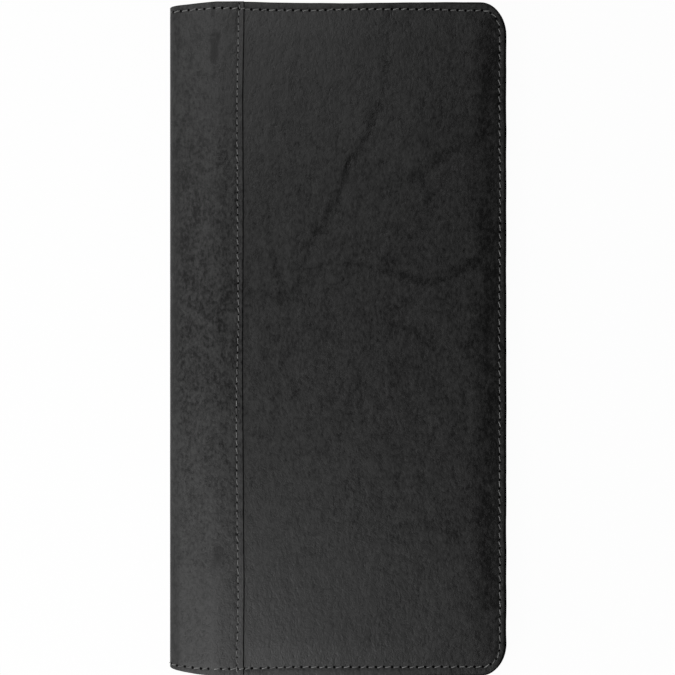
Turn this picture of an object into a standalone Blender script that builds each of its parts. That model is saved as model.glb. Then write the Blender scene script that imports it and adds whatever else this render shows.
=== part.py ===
"""Travel document holder: a tall leather case that folds shut on a strip of leather at its spine.

The case lies closed on its back cover. X runs from the spine to the free edge, Y up the covers and Z
from the back cover to the front one. The origin is the middle of the bottom of its box. Metres.

A place on a page is given by its reach from the outermost line of the fold, its height above the
middle of the page, and its depth inwards from the outer face of the spine strip.
"""

import math
from collections import namedtuple

import bmesh
import bpy

# Covers
CLOSED_WIDTH = 0.118
COVER_HEIGHT = 0.236
CORNER_WIDTH = 0.009
CORNER_LENGTH = 0.0116
CORNER_STEPS = 8
GLUE_GAP = 0.0003
PAGE_INSET = 0.0003
EDGE_ROUNDING = 0.00025
THINNEST_ROUNDING_SHARE = 0.3
ROUNDING_SEGMENTS = 2

# Spine strip, which is pared thin towards the edge that laps over a cover panel
STRIP_THICKNESS = 0.0011
STRIP_EDGE_THICKNESS = 0.00055
STRIP_LAP = 0.0103
PARING_MARGIN = 0.0016

# Fold of the strip: flat, then a gentle taper, then a bend into the narrow back
FOLD_REACH = 0.0154
FOLD_TAPER = math.radians(12.0)
FOLD_RADIUS = 0.004
FOLD_GAP = 0.0003
FOLD_STEPS = 4
END_DRAW_IN = 0.0013
END_DRAW_POWER = 1.5

# Cover panels, stiffening boards and lining
PANEL_THICKNESS = 0.0011
FLANGE_THICKNESS = 0.0002
LAP_CLEARANCE = 0.0002
LAP_RISE = 0.0003
BOARD_THICKNESS = 0.0007
BOARD_MARGIN = 0.0028
LINING_THICKNESS = 0.0004
LINING_LANDING = 0.0007
LINING_DIP = 0.0034

# Back page: a full ticket pocket, and a passport pocket over its lower half
TICKET_ROOM = 0.0005
TICKET_THICKNESS = 0.0007
TICKET_MARGIN = 0.0006
TICKET_MOUTH_DROP = 0.026
PASSPORT_ROOM = 0.0043
PASSPORT_THICKNESS = 0.0007
PASSPORT_MARGIN = 0.001
PASSPORT_DEPTH = 0.128
PASSPORT_RUN = 0.0026
GUTTER_SEAM = 0.0026
EDGE_SEAM = 0.0032
NOTCH_HALF_WIDTH = 0.016
NOTCH_DEPTH = 0.009
NOTCH_STEPS = 12

# Front page: a sleeve open at the spine, four card slots and a slip pocket on it
SLEEVE_ROOM = 0.0005
SLEEVE_THICKNESS = 0.0006
SLEEVE_MARGIN = 0.0006
CARD_SLOTS = 4
CARD_TOP_DROP = 0.014
CARD_PITCH = 0.014
CARD_DEPTH = 0.05
CARD_ROOM = 0.0006
CARD_THICKNESS = 0.0005
CARD_MARGIN = 0.0013
CARD_GUTTER_SEAM = 0.0022
CARD_EDGE_SEAM = 0.003
CARD_SIDE_RUN = 0.003
CARD_RUN = 0.008
CARD_BAND = 0.024
SLIP_THICKNESS = 0.0005
SLIP_MARGIN = 0.001
SLIP_DROP = 0.014
RUN_STEPS = 4

# Room between the two pages when the case is shut
PAGE_CLEARANCE = 0.0005
STACK_STEP = 0.001

# Depths of the layers, each on the one before it
PANEL_INNER = STRIP_THICKNESS + GLUE_GAP + FLANGE_THICKNESS
FRONT_STEP = PANEL_INNER - PANEL_THICKNESS
BOARD_DEPTH = PANEL_INNER + GLUE_GAP
LINING_DEPTH = BOARD_DEPTH + BOARD_THICKNESS + GLUE_GAP
LINING_INNER = LINING_DEPTH + LINING_THICKNESS
TICKET_DEPTH = LINING_INNER + TICKET_ROOM
TICKET_INNER = TICKET_DEPTH + TICKET_THICKNESS
PASSPORT_SEAT = TICKET_INNER + GLUE_GAP
PASSPORT_INNER = TICKET_INNER + PASSPORT_ROOM + PASSPORT_THICKNESS
SLEEVE_DEPTH = LINING_INNER + SLEEVE_ROOM
SLEEVE_INNER = SLEEVE_DEPTH + SLEEVE_THICKNESS
SLIP_DEPTH = SLEEVE_INNER + GLUE_GAP
SLIP_INNER = SLIP_DEPTH + SLIP_THICKNESS

# Reaches from the fold, and heights
STRIP_REACH = FOLD_REACH + STRIP_LAP
BOARD_REACH = FOLD_REACH + BOARD_MARGIN
PAGE_EDGE = CLOSED_WIDTH - PAGE_INSET
PAGE_TOP = COVER_HEIGHT / 2 - PAGE_INSET
TICKET_REACH = BOARD_REACH + TICKET_MARGIN
TICKET_MOUTH = COVER_HEIGHT / 2 - TICKET_MOUTH_DROP
PASSPORT_REACH = BOARD_REACH + PASSPORT_MARGIN
PASSPORT_MOUTH = PASSPORT_DEPTH - PAGE_TOP
SLEEVE_REACH = BOARD_REACH + SLEEVE_MARGIN
CARD_REACH = BOARD_REACH + CARD_MARGIN
CARD_MOUTHS = [COVER_HEIGHT / 2 - CARD_TOP_DROP - CARD_PITCH * slot for slot in range(CARD_SLOTS)]
STEM_START = CARD_REACH + CARD_GUTTER_SEAM + CARD_SIDE_RUN
STEM_END = PAGE_EDGE - CARD_EDGE_SEAM - CARD_SIDE_RUN
SLIP_REACH = BOARD_REACH + SLIP_MARGIN
SLIP_MOUTH = CARD_MOUTHS[-1] - CARD_DEPTH - SLIP_DROP

Finish = namedtuple("Finish", "colour roughness")
COVER_LEATHER = Finish((0.030, 0.030, 0.030), 0.50)
POCKET_LEATHER = Finish((0.024, 0.024, 0.024), 0.55)
LINING_CLOTH = Finish((0.012, 0.012, 0.012), 0.85)
STIFFENER_BOARD = Finish((0.200, 0.180, 0.150), 0.90)

Body = namedtuple("Body", "carrier origin is_front")
Station = namedtuple("Station", "outer inner low high")


def smooth(share):
    """Smooth step from 0 to 1."""
    share = min(max(share, 0.0), 1.0)
    return share * share * (3.0 - 2.0 * share)


def steps_between(start, end, count):
    """Evenly spaced values from start to end, both included."""
    return [start + (end - start) * step / count for step in range(count + 1)]


def tidy_sorted(values, low, high):
    """Values between two limits, in order, with the limits and with no two closer than a hair."""
    kept = [low]
    for value in sorted(values):
        if value - kept[-1] > GLUE_GAP / 2 and high - value > GLUE_GAP / 2:
            kept.append(value)
    return kept + [high]


def slot_presence(slot, reach, height):
    """How far a card slot's leather lifts what lies over it: 1 over the leather, 0 clear of it."""
    mouth = CARD_MOUTHS[slot]
    band = smooth((height - mouth + CARD_BAND + CARD_RUN) / CARD_RUN)
    stem = smooth((height - mouth + CARD_DEPTH + CARD_RUN) / CARD_RUN)
    return band + (stem - band) * card_room_share(reach)


def card_room_share(reach):
    """Share of a card's room that is open at a reach: 1 over the card, 0 in the side seams."""
    gutter = smooth((reach - STEM_START + CARD_SIDE_RUN) / CARD_SIDE_RUN)
    edge = smooth((STEM_END + CARD_SIDE_RUN - reach) / CARD_SIDE_RUN)
    return gutter * edge


def slot_depth(slot, reach, height):
    """Depth of the underside of a card slot, which lies on the sleeve and on the slots above it."""
    spare = (CARD_ROOM - GLUE_GAP) * card_room_share(reach)
    own = smooth((height - CARD_MOUTHS[slot] + CARD_DEPTH) / CARD_RUN)
    below = sum(slot_presence(lower, reach, height) for lower in range(slot))
    return SLEEVE_INNER + below * (CARD_THICKNESS + GLUE_GAP + spare) + GLUE_GAP + spare * own


def passport_depth(reach, height):
    """Depth of the underside of the passport pocket, which stands off its three seams."""
    gutter = smooth((reach - PASSPORT_REACH - GUTTER_SEAM) / PASSPORT_RUN)
    edge = smooth((PAGE_EDGE - EDGE_SEAM - reach) / PASSPORT_RUN)
    bottom = smooth((height + PAGE_TOP - EDGE_SEAM) / PASSPORT_RUN)
    return PASSPORT_SEAT + (PASSPORT_ROOM - GLUE_GAP) * gutter * edge * bottom


def back_stack(height):
    """Depth of the back page's inmost face at a height."""
    return PASSPORT_INNER if height <= PASSPORT_MOUTH else TICKET_INNER


def front_stack(height):
    """Depth of the front page's inmost face at a height."""
    middle = (STEM_START + STEM_END) / 2
    depths = [SLIP_INNER if height <= SLIP_MOUTH else SLEEVE_INNER]
    for slot, mouth in enumerate(CARD_MOUTHS):
        if mouth - CARD_DEPTH <= height <= mouth:
            depths.append(slot_depth(slot, middle, height) + CARD_THICKNESS)
    return max(depths)


STACK_COUNT = round(COVER_HEIGHT / STACK_STEP)
STACK_HEIGHTS = steps_between(-COVER_HEIGHT / 2, COVER_HEIGHT / 2, STACK_COUNT)
PAGES_DEPTH = max(back_stack(height) + front_stack(height) for height in STACK_HEIGHTS)
CLOSED_THICKNESS = PAGES_DEPTH + PAGE_CLEARANCE

# Fold geometry. The bend is tangent to the taper and to the back, and it fits the half thickness.
WIDEST_BEND = CLOSED_THICKNESS / 2 * math.cos(FOLD_TAPER) - FOLD_REACH * math.sin(FOLD_TAPER)
BEND = min(FOLD_RADIUS, WIDEST_BEND / (1.0 - math.sin(FOLD_TAPER)))
BEND_DEPTH = (BEND + (FOLD_REACH - BEND) * math.sin(FOLD_TAPER)) / math.cos(FOLD_TAPER)
BEND_START = math.radians(270.0) - FOLD_TAPER
BEND_END = math.radians(180.0)
BEND_MIDDLE = (BEND_START + BEND_END) / 2
TAPER_LENGTH = (FOLD_REACH - BEND * (1.0 + math.cos(BEND_START))) / math.cos(FOLD_TAPER)
BEND_LENGTH = BEND * (BEND_START - BEND_END)
FOLD_LENGTH = TAPER_LENGTH + BEND_LENGTH + CLOSED_THICKNESS / 2 - BEND_DEPTH


def clear_scene():
    """Remove every object, so that only the case is left."""
    for obj in list(bpy.data.objects):
        bpy.data.objects.remove(obj, do_unlink=True)


def world(body, reach, height, depth):
    """World place of a point of a page. The front page faces down, so its depth runs down."""
    z = CLOSED_THICKNESS - depth if body.is_front else depth
    return (reach - CLOSED_WIDTH / 2, height, z)


def from_axis(body, place):
    """Place of a point of a page as seen from the body's own origin, on its fold's axis."""
    return [here - there for here, there in zip(world(body, *place), body.origin)]


def add_carrier(name, parent, origin, parent_origin):
    """Empty on a fold's axis, which carries the pieces that turn there."""
    carrier = bpy.data.objects.new(name, None)
    carrier.empty_display_size = STRIP_REACH
    bpy.context.scene.collection.objects.link(carrier)
    carrier.parent = parent
    carrier.location = [here - there for here, there in zip(origin, parent_origin)]
    return carrier


def make_material(name, finish):
    """Plain material with a finish's colour and roughness."""
    material = bpy.data.materials.new(name)
    material.use_nodes = True
    shader = material.node_tree.nodes["Principled BSDF"]
    shader.inputs["Base Color"].default_value = (*finish.colour, 1.0)
    shader.inputs["Roughness"].default_value = finish.roughness
    shader.inputs["Metallic"].default_value = 0.0
    material.diffuse_color = (*finish.colour, 1.0)
    return material


def rim(grid):
    """The four sides of a grid, by name."""
    return {
        "first": grid[0],
        "last": grid[-1],
        "low": [column[0] for column in grid],
        "high": [column[-1] for column in grid],
    }


def soften(work, grids, sides):
    """Mark the edges along some sides of some grids, for rounding."""
    weight = work.edges.layers.float.new("bevel_weight_edge")
    for grid in grids:
        for side in sides:
            line = rim(grid)[side]
            for start, end in zip(line, line[1:]):
                edge = work.edges.get((start, end))
                if edge:
                    edge[weight] = 1.0


def add_rounding(obj, thickness):
    """Round the marked edges, by less where the leather is thin."""
    rounding = obj.modifiers.new("rounded_edges", "BEVEL")
    rounding.limit_method = "WEIGHT"
    rounding.width = min(EDGE_ROUNDING, thickness * THINNEST_ROUNDING_SHARE)
    rounding.segments = ROUNDING_SEGMENTS


def no_cell(column, row):
    """Leave no cell out."""
    return False


def shell(name, body, finish, outer, inner, is_cut=no_cell, cover_rim=(), mouth_wall=None):
    """Closed body between two grids of places, with a wall along every open side of its cells.

    cover_rim names the sides whose outer edge is rounded, and mouth_wall is the wall of a pocket whose
    mouth is rounded on both faces.
    """
    work = bmesh.new()
    top = [[work.verts.new(from_axis(body, place)) for place in column] for column in outer]
    bottom = [[work.verts.new(from_axis(body, place)) for place in column] for column in inner]
    columns, rows = len(outer) - 1, len(outer[0]) - 1
    cells = {(i, j) for i in range(columns) for j in range(rows) if not is_cut(i, j)}
    for i, j in sorted(cells):
        ring = [(i, j), (i + 1, j), (i + 1, j + 1), (i, j + 1)]
        work.faces.new([top[a][b] for a, b in ring])
        work.faces.new([bottom[a][b] for a, b in reversed(ring)])
        for side, neighbour in enumerate([(i, j - 1), (i + 1, j), (i, j + 1), (i - 1, j)]):
            if neighbour in cells:
                continue
            (a, b), (c, d) = ring[side], ring[(side + 1) % 4]
            work.faces.new([top[c][d], top[a][b], bottom[a][b], bottom[c][d]])
    if cover_rim:
        soften(work, [top], cover_rim)
    if mouth_wall:
        soften(work, [top, bottom], ["high"])
    loose = [vert for vert in work.verts if not vert.link_faces]
    bmesh.ops.delete(work, geom=loose, context="VERTS")
    bmesh.ops.recalc_face_normals(work, faces=work.faces)
    mesh = bpy.data.meshes.new(name)
    work.to_mesh(mesh)
    work.free()
    mesh.shade_smooth()
    mesh.set_sharp_from_angle(angle=math.radians(30.0))
    mesh.materials.append(make_material(name + "_finish", finish))
    obj = bpy.data.objects.new(name, mesh)
    bpy.context.scene.collection.objects.link(obj)
    obj.parent = body.carrier
    if cover_rim:
        add_rounding(obj, STRIP_EDGE_THICKNESS)
    if mouth_wall:
        add_rounding(obj, mouth_wall)


def section(name, body, finish, stations, cover_rim=(), mouth_wall=None):
    """Body with one cross-section all the way up, between a low and a high end at each station."""
    outer = [[(s.outer[0], end, s.outer[1]) for end in (s.low, s.high)] for s in stations]
    inner = [[(s.inner[0], end, s.inner[1]) for end in (s.low, s.high)] for s in stations]
    shell(name, body, finish, outer, inner, no_cell, cover_rim, mouth_wall)


def half_height(reach, inset):
    """Half the height of a page at a reach, with the page's corners, which are a little longer than wide."""
    width = CORNER_WIDTH - inset
    past = max(reach - (CLOSED_WIDTH - inset - width), 0.0)
    drop = (CORNER_LENGTH - inset) * (1.0 - math.sqrt(max(1.0 - (past / width) ** 2, 0.0)))
    return COVER_HEIGHT / 2 - inset - drop


def corner_reaches(inset):
    """Reaches that draw a rounded corner, from where it starts to the free edge."""
    width = CORNER_WIDTH - inset
    centre = CLOSED_WIDTH - inset - width
    return [centre + width * math.sin(turn) for turn in steps_between(0.0, math.pi / 2, CORNER_STEPS)]


def flat_station(reach, outer, inner, inset):
    """Station of a layer that runs to both ends of the page."""
    half = half_height(reach, inset)
    return Station((reach, outer), (reach, inner), -half, half)


def flat_layer(start, outer, inner, inset):
    """Stations of an even layer from a reach to the free edge."""
    reaches = [start] + corner_reaches(inset)
    return [flat_station(reach, outer, inner, inset) for reach in reaches]


def notch_drop(reach, centre):
    """Drop of a pocket's mouth in its thumb notch, which has a round floor and round shoulders."""
    away = min(abs(reach - centre) / NOTCH_HALF_WIDTH, 1.0)
    return NOTCH_DEPTH * (1.0 + math.cos(math.pi * away)) / 2


def notch_reaches(centre):
    """Reaches that draw a thumb notch."""
    return steps_between(centre - NOTCH_HALF_WIDTH, centre + NOTCH_HALF_WIDTH, NOTCH_STEPS)


def strip_inner(reach):
    """Depth of the strip's inner face where it lies flat, pared down to its lapped edge."""
    start = FOLD_REACH + PARING_MARGIN
    share = max(0.0, (reach - start) / (STRIP_REACH - start))
    return STRIP_THICKNESS + (STRIP_EDGE_THICKNESS - STRIP_THICKNESS) * share


def fold_half_height(length):
    """Half the height of the fold, drawn in more the further it lies round the fold."""
    return COVER_HEIGHT / 2 - END_DRAW_IN * (length / FOLD_LENGTH) ** END_DRAW_POWER


def taper_start(depth):
    """Place where a face at a depth under the outer one turns from flat into the taper."""
    return (FOLD_REACH + depth * math.tan(FOLD_TAPER / 2), depth)


def taper_place(depth, reach):
    """Place on the taper at a depth under the outer face."""
    start = taper_start(depth)
    return (reach, depth + (start[0] - reach) * math.tan(FOLD_TAPER))


def bend_place(depth, angle):
    """Place on the bend at a depth under the outer face."""
    radius = BEND - depth
    return (BEND + radius * math.cos(angle), BEND_DEPTH + radius * math.sin(angle))


def cut_angle(depth, side):
    """Angle of the bend where a face ends at the gap that the fold's axis lies in."""
    return BEND_MIDDLE + side * math.asin(FOLD_GAP / 2 / (BEND - depth))


def bend_stations(outer, inner, start, side):
    """Stations along the bend between an angle and the gap, on the cover's side of it or the back's."""
    stations = []
    for step in range(FOLD_STEPS + 1):
        share = step / FOLD_STEPS
        angles = [start + (cut_angle(depth, side) - start) * share for depth in (outer, inner)]
        half = fold_half_height(TAPER_LENGTH + BEND * (BEND_START - angles[0]))
        places = [bend_place(depth, angle) for depth, angle in zip((outer, inner), angles)]
        stations.append(Station(*places, -half, half))
    return stations


def build_strip_end(name, body):
    """Half of the strip that lies on a cover, from its lapped edge to the fold."""
    stations = [
        flat_station(STRIP_REACH, 0.0, STRIP_EDGE_THICKNESS, 0.0),
        flat_station(FOLD_REACH + PARING_MARGIN, 0.0, STRIP_THICKNESS, 0.0),
    ]
    half = fold_half_height(0.0)
    stations.append(Station(taper_start(0.0), taper_start(STRIP_THICKNESS), -half, half))
    stations += bend_stations(0.0, STRIP_THICKNESS, BEND_START, 1)
    section(name, body, COVER_LEATHER, stations, cover_rim=("first", "low", "high"))


def build_back_piece(name, body, finish, outer, inner, cover_rim=()):
    """Narrow back between the two folds, bent at both sides."""
    lower = bend_stations(outer, inner, BEND_END, -1)
    stations = list(reversed(lower))
    half = fold_half_height(FOLD_LENGTH)
    middle = CLOSED_THICKNESS / 2
    stations.append(Station((outer, middle), (inner, middle), -half, half))
    for low in lower:
        places = [(reach, CLOSED_THICKNESS - depth) for reach, depth in (low.outer, low.inner)]
        stations.append(Station(*places, low.low, low.high))
    section(name, body, finish, stations, cover_rim)


def build_panel(name, body, outer):
    """Cover panel: a thin flange under the strip, then a rise to its own outer face."""
    flange = BOARD_REACH + GLUE_GAP
    foot = STRIP_REACH + LAP_CLEARANCE
    stations = []
    for reach in (flange, foot):
        stations.append(flat_station(reach, strip_inner(reach) + GLUE_GAP, PANEL_INNER, 0.0))
    stations += flat_layer(foot + LAP_RISE, outer, PANEL_INNER, 0.0)
    section(name, body, COVER_LEATHER, stations, cover_rim=("last", "low", "high"))


def build_lining_page(name, body):
    """Lining of one page: flat on the board, then down into the fold."""
    stations = flat_layer(BOARD_REACH - LINING_LANDING, LINING_DEPTH, LINING_INNER, 0.0)
    stations.reverse()
    outer = STRIP_THICKNESS + GLUE_GAP
    inner = outer + LINING_THICKNESS
    dip = FOLD_REACH - LINING_DIP
    half = fold_half_height(LINING_DIP / math.cos(FOLD_TAPER))
    stations.append(Station(taper_place(outer, dip), taper_place(inner, dip), -half, half))
    stations += bend_stations(outer, inner, BEND_START, 1)
    section(name, body, LINING_CLOTH, stations)


def build_ticket_pocket(body):
    """Flat pocket over the whole back page, open at the top with a thumb notch."""
    centre = (TICKET_REACH + PAGE_EDGE) / 2
    reaches = tidy_sorted(notch_reaches(centre) + corner_reaches(PAGE_INSET), TICKET_REACH, PAGE_EDGE)
    stations = []
    for reach in reaches:
        low = -half_height(reach, PAGE_INSET)
        high = TICKET_MOUTH - notch_drop(reach, centre)
        stations.append(Station((reach, TICKET_DEPTH), (reach, TICKET_INNER), low, high))
    section("ticket_pocket", body, POCKET_LEATHER, stations, mouth_wall=TICKET_THICKNESS)


def lifted(surface, thickness):
    """Grid of places a wall's thickness inwards of a surface, square to it."""
    nudge = GLUE_GAP / 3

    def lift(reach, height):
        across = (surface(reach + nudge, height) - surface(reach - nudge, height)) / (2 * nudge)
        along = (surface(reach, height + nudge) - surface(reach, height - nudge)) / (2 * nudge)
        scale = thickness / math.sqrt(1.0 + across * across + along * along)
        return (reach - across * scale, height - along * scale, surface(reach, height) + scale)

    return lift


def build_passport_pocket(body):
    """Roomy pocket over the lower half of the back page, raised off its three seams."""
    centre = (PASSPORT_REACH + PAGE_EDGE) / 2
    gutter = PASSPORT_REACH + GUTTER_SEAM
    edge = PAGE_EDGE - EDGE_SEAM
    reaches = notch_reaches(centre) + corner_reaches(PAGE_INSET)
    reaches += steps_between(gutter, gutter + PASSPORT_RUN, RUN_STEPS)
    reaches += steps_between(edge - PASSPORT_RUN, edge, RUN_STEPS)
    rises = [0.0] + steps_between(EDGE_SEAM, EDGE_SEAM + PASSPORT_RUN, RUN_STEPS)
    lift = lifted(passport_depth, PASSPORT_THICKNESS)
    outer, inner = [], []
    for reach in tidy_sorted(reaches, PASSPORT_REACH, PAGE_EDGE):
        low = -half_height(reach, PAGE_INSET)
        high = PASSPORT_MOUTH - notch_drop(reach, centre)
        heights = [low + rise for rise in rises] + [high]
        outer.append([(reach, height, passport_depth(reach, height)) for height in heights])
        inner.append([lift(reach, height) for height in heights])
    shell("passport_pocket", body, POCKET_LEATHER, outer, inner, mouth_wall=PASSPORT_THICKNESS)


def build_card_slot(slot, body):
    """One card slot: a full band at its mouth on a narrower stem, but the front one is full all down."""
    mouth = CARD_MOUTHS[slot]
    floor = mouth - CARD_DEPTH
    shoulder = mouth - CARD_BAND
    is_front_slot = slot == CARD_SLOTS - 1
    reaches = steps_between(STEM_START - CARD_SIDE_RUN, STEM_START, RUN_STEPS)
    reaches += steps_between(STEM_END, STEM_END + CARD_SIDE_RUN, RUN_STEPS)
    reaches = tidy_sorted(reaches, CARD_REACH, PAGE_EDGE)
    feet = [floor]
    for higher in CARD_MOUTHS[:slot]:
        feet += [higher - CARD_BAND - CARD_RUN, higher - CARD_DEPTH - CARD_RUN]
    rows = [shoulder]
    for foot in feet:
        rows += steps_between(foot, foot + CARD_RUN, RUN_STEPS)
    rows = tidy_sorted([row for row in rows if floor < row < mouth], floor, mouth)

    def is_cut(column, row):
        beside_stem = reaches[column + 1] <= STEM_START or reaches[column] >= STEM_END
        return not is_front_slot and beside_stem and rows[row + 1] <= shoulder

    outer, inner = [], []
    for reach in reaches:
        depths = [slot_depth(slot, reach, height) for height in rows]
        outer.append([(reach, height, depth) for height, depth in zip(rows, depths)])
        inner.append([(reach, height, depth + CARD_THICKNESS) for height, depth in zip(rows, depths)])
    shell(f"card_slot_{slot + 1}", body, POCKET_LEATHER, outer, inner, is_cut, mouth_wall=CARD_THICKNESS)


def build_slip_pocket(body):
    """Flat pocket over the lower half of the front page."""
    stations = []
    for reach in [SLIP_REACH] + corner_reaches(PAGE_INSET):
        low = -half_height(reach, PAGE_INSET)
        stations.append(Station((reach, SLIP_DEPTH), (reach, SLIP_INNER), low, SLIP_MOUTH))
    section("slip_pocket", body, POCKET_LEATHER, stations, mouth_wall=SLIP_THICKNESS)


def build_cover(body, side, panel_outer):
    """Panel, strip end, board and lining of one cover."""
    build_panel(f"{side}_panel", body, panel_outer)
    build_strip_end(f"strip_{side}", body)
    board = flat_layer(BOARD_REACH, BOARD_DEPTH, BOARD_DEPTH + BOARD_THICKNESS, 0.0)
    section(f"{side}_board", body, STIFFENER_BOARD, board)
    build_lining_page(f"lining_{side}", body)


def main():
    """Build the case, shut."""
    clear_scene()
    pivot = bend_place(0.0, BEND_MIDDLE)
    back = Body(None, (0.0, 0.0, 0.0), False)
    low_axis = world(back, pivot[0], 0.0, pivot[1])
    high_axis = world(back, pivot[0], 0.0, CLOSED_THICKNESS - pivot[1])
    low_carrier = add_carrier("back_fold_axis", None, low_axis, back.origin)
    high_carrier = add_carrier("front_fold_axis", low_carrier, high_axis, low_axis)
    spine = Body(low_carrier, low_axis, False)
    front = Body(high_carrier, high_axis, True)

    build_cover(back, "back", 0.0)
    build_ticket_pocket(back)
    build_passport_pocket(back)

    build_back_piece("strip_spine", spine, COVER_LEATHER, 0.0, STRIP_THICKNESS, ("low", "high"))
    lining_outer = STRIP_THICKNESS + GLUE_GAP
    build_back_piece("lining_spine", spine, LINING_CLOTH, lining_outer, lining_outer + LINING_THICKNESS)

    build_cover(front, "front", FRONT_STEP)
    sleeve = flat_layer(SLEEVE_REACH, SLEEVE_DEPTH, SLEEVE_INNER, PAGE_INSET)
    section("card_page", front, POCKET_LEATHER, sleeve)
    for slot in range(CARD_SLOTS):
        build_card_slot(slot, front)
    build_slip_pocket(front)


main()
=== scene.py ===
"""Finish of a tall travel document holder of black leather, folded shut on a sewn spine strip.

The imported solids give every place. A place on the leather is its reach, measured along the strip's
outer face from the flat of a cover round into the fold, its height above the middle of the page, and
its depth inwards from that face. Metres.
"""

import logging
import math
import random
from dataclasses import dataclass, replace
from enum import Enum
from typing import Callable, Sequence

import bpy
import numpy as np
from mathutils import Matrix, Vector


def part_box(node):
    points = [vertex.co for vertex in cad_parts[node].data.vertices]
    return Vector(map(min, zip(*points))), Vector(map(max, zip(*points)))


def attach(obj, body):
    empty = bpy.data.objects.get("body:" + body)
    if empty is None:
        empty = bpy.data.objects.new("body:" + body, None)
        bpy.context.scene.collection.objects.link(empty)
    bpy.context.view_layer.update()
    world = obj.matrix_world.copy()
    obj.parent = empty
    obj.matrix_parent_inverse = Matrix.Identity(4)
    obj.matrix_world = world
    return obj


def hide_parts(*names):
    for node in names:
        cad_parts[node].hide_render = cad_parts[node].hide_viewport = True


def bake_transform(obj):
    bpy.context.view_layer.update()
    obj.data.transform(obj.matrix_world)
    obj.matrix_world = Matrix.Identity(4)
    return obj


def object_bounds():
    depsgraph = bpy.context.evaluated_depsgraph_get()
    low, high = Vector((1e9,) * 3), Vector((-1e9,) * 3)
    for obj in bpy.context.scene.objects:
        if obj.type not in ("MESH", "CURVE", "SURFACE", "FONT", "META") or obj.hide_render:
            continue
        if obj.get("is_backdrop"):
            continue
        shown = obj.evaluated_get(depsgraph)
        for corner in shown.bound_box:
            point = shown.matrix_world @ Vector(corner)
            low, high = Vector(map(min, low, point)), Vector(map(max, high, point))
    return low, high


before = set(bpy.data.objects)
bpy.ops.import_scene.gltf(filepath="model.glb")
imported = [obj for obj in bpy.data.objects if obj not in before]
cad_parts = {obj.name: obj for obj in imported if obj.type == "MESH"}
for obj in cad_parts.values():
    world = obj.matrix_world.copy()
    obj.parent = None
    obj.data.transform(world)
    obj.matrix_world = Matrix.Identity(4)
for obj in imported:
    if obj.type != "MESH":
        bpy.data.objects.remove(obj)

MM = 0.001
LOG = logging.getLogger("document_holder")
Values = np.ndarray
Numbers = float | np.ndarray
Surface = Callable[[Values, Values], Values]
Colour = tuple[float, float, float]
PAINT_BLACK: Colour = (0.0035, 0.0035, 0.0036)


class Side(Enum):
    """The two covers, each with the page inside it."""

    BACK = "back"
    FRONT = "front"


def ease(share: Numbers) -> Values:
    """Smooth step from 0 to 1."""
    share = np.clip(share, 0.0, 1.0)
    return share * share * (3.0 - 2.0 * share)


def bell(value: Numbers, middle: float, width: float) -> Values:
    """Soft bump, 1 at its middle and about a third at its width from there."""
    return np.exp(-(((value - middle) / width) ** 2))


def painted(edge: Values, width: Numbers, start: float = 1.5) -> Values:
    """Share of paint on a face, from 1 at its edge to 0 past the paint's width."""
    return np.clip(start - edge / width, 0.0, 1.0)


def rounded_edge(edge: Values, radius: float) -> Values:
    """How far a face falls away towards a rounded edge."""
    short = np.clip(radius - edge, 0.0, radius)
    return radius - np.sqrt(radius * radius - short * short)


def swell(across: Values, along: Values, size: float, seed: int, waves: int = 7) -> Values:
    """Gentle uneven swell over a surface.

    Args:
        across: Places across the surface.
        along: Places along it.
        size: Usual width of one swell.
        seed: Chooses the pattern.
        waves: How many waves it is made of.

    Returns:
        Heights from about -1 to 1.
    """
    draw = random.Random(seed)
    total = np.zeros(np.shape(across))
    for _ in range(waves):
        turn = draw.uniform(0.0, math.pi)
        pace = 2.0 * math.pi / (size * draw.uniform(0.7, 1.7))
        start = draw.uniform(0.0, 2.0 * math.pi)
        total = total + np.sin((across * math.cos(turn) + along * math.sin(turn)) * pace + start)
    return total * 2.0 / waves


def spread(start: float, end: float, step: float) -> list[float]:
    """Evenly spaced values from start to end, about a step apart."""
    count = max(1, round((end - start) / step))
    return [start + (end - start) * k / count for k in range(count + 1)]


def tidy(values: Sequence[float], low: float, high: float, kept: Sequence[float]) -> list[float]:
    """Values between two limits in order, without near repeats.

    Args:
        values: Values to sort.
        low: Lowest value, always kept.
        high: Highest value, always kept.
        kept: Further values that always stay.

    Returns:
        The values.
    """
    near = 0.045 * MM
    fixed = [low, high, *kept]
    chosen = sorted(v for v in values if low < v < high and all(abs(v - f) > near for f in fixed))
    result: list[float] = []
    for value in sorted(chosen + [v for v in fixed if low <= v <= high]):
        if not result or value - result[-1] > near:
            result.append(value)
        elif value in fixed:
            result[-1] = value
    return result


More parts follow.
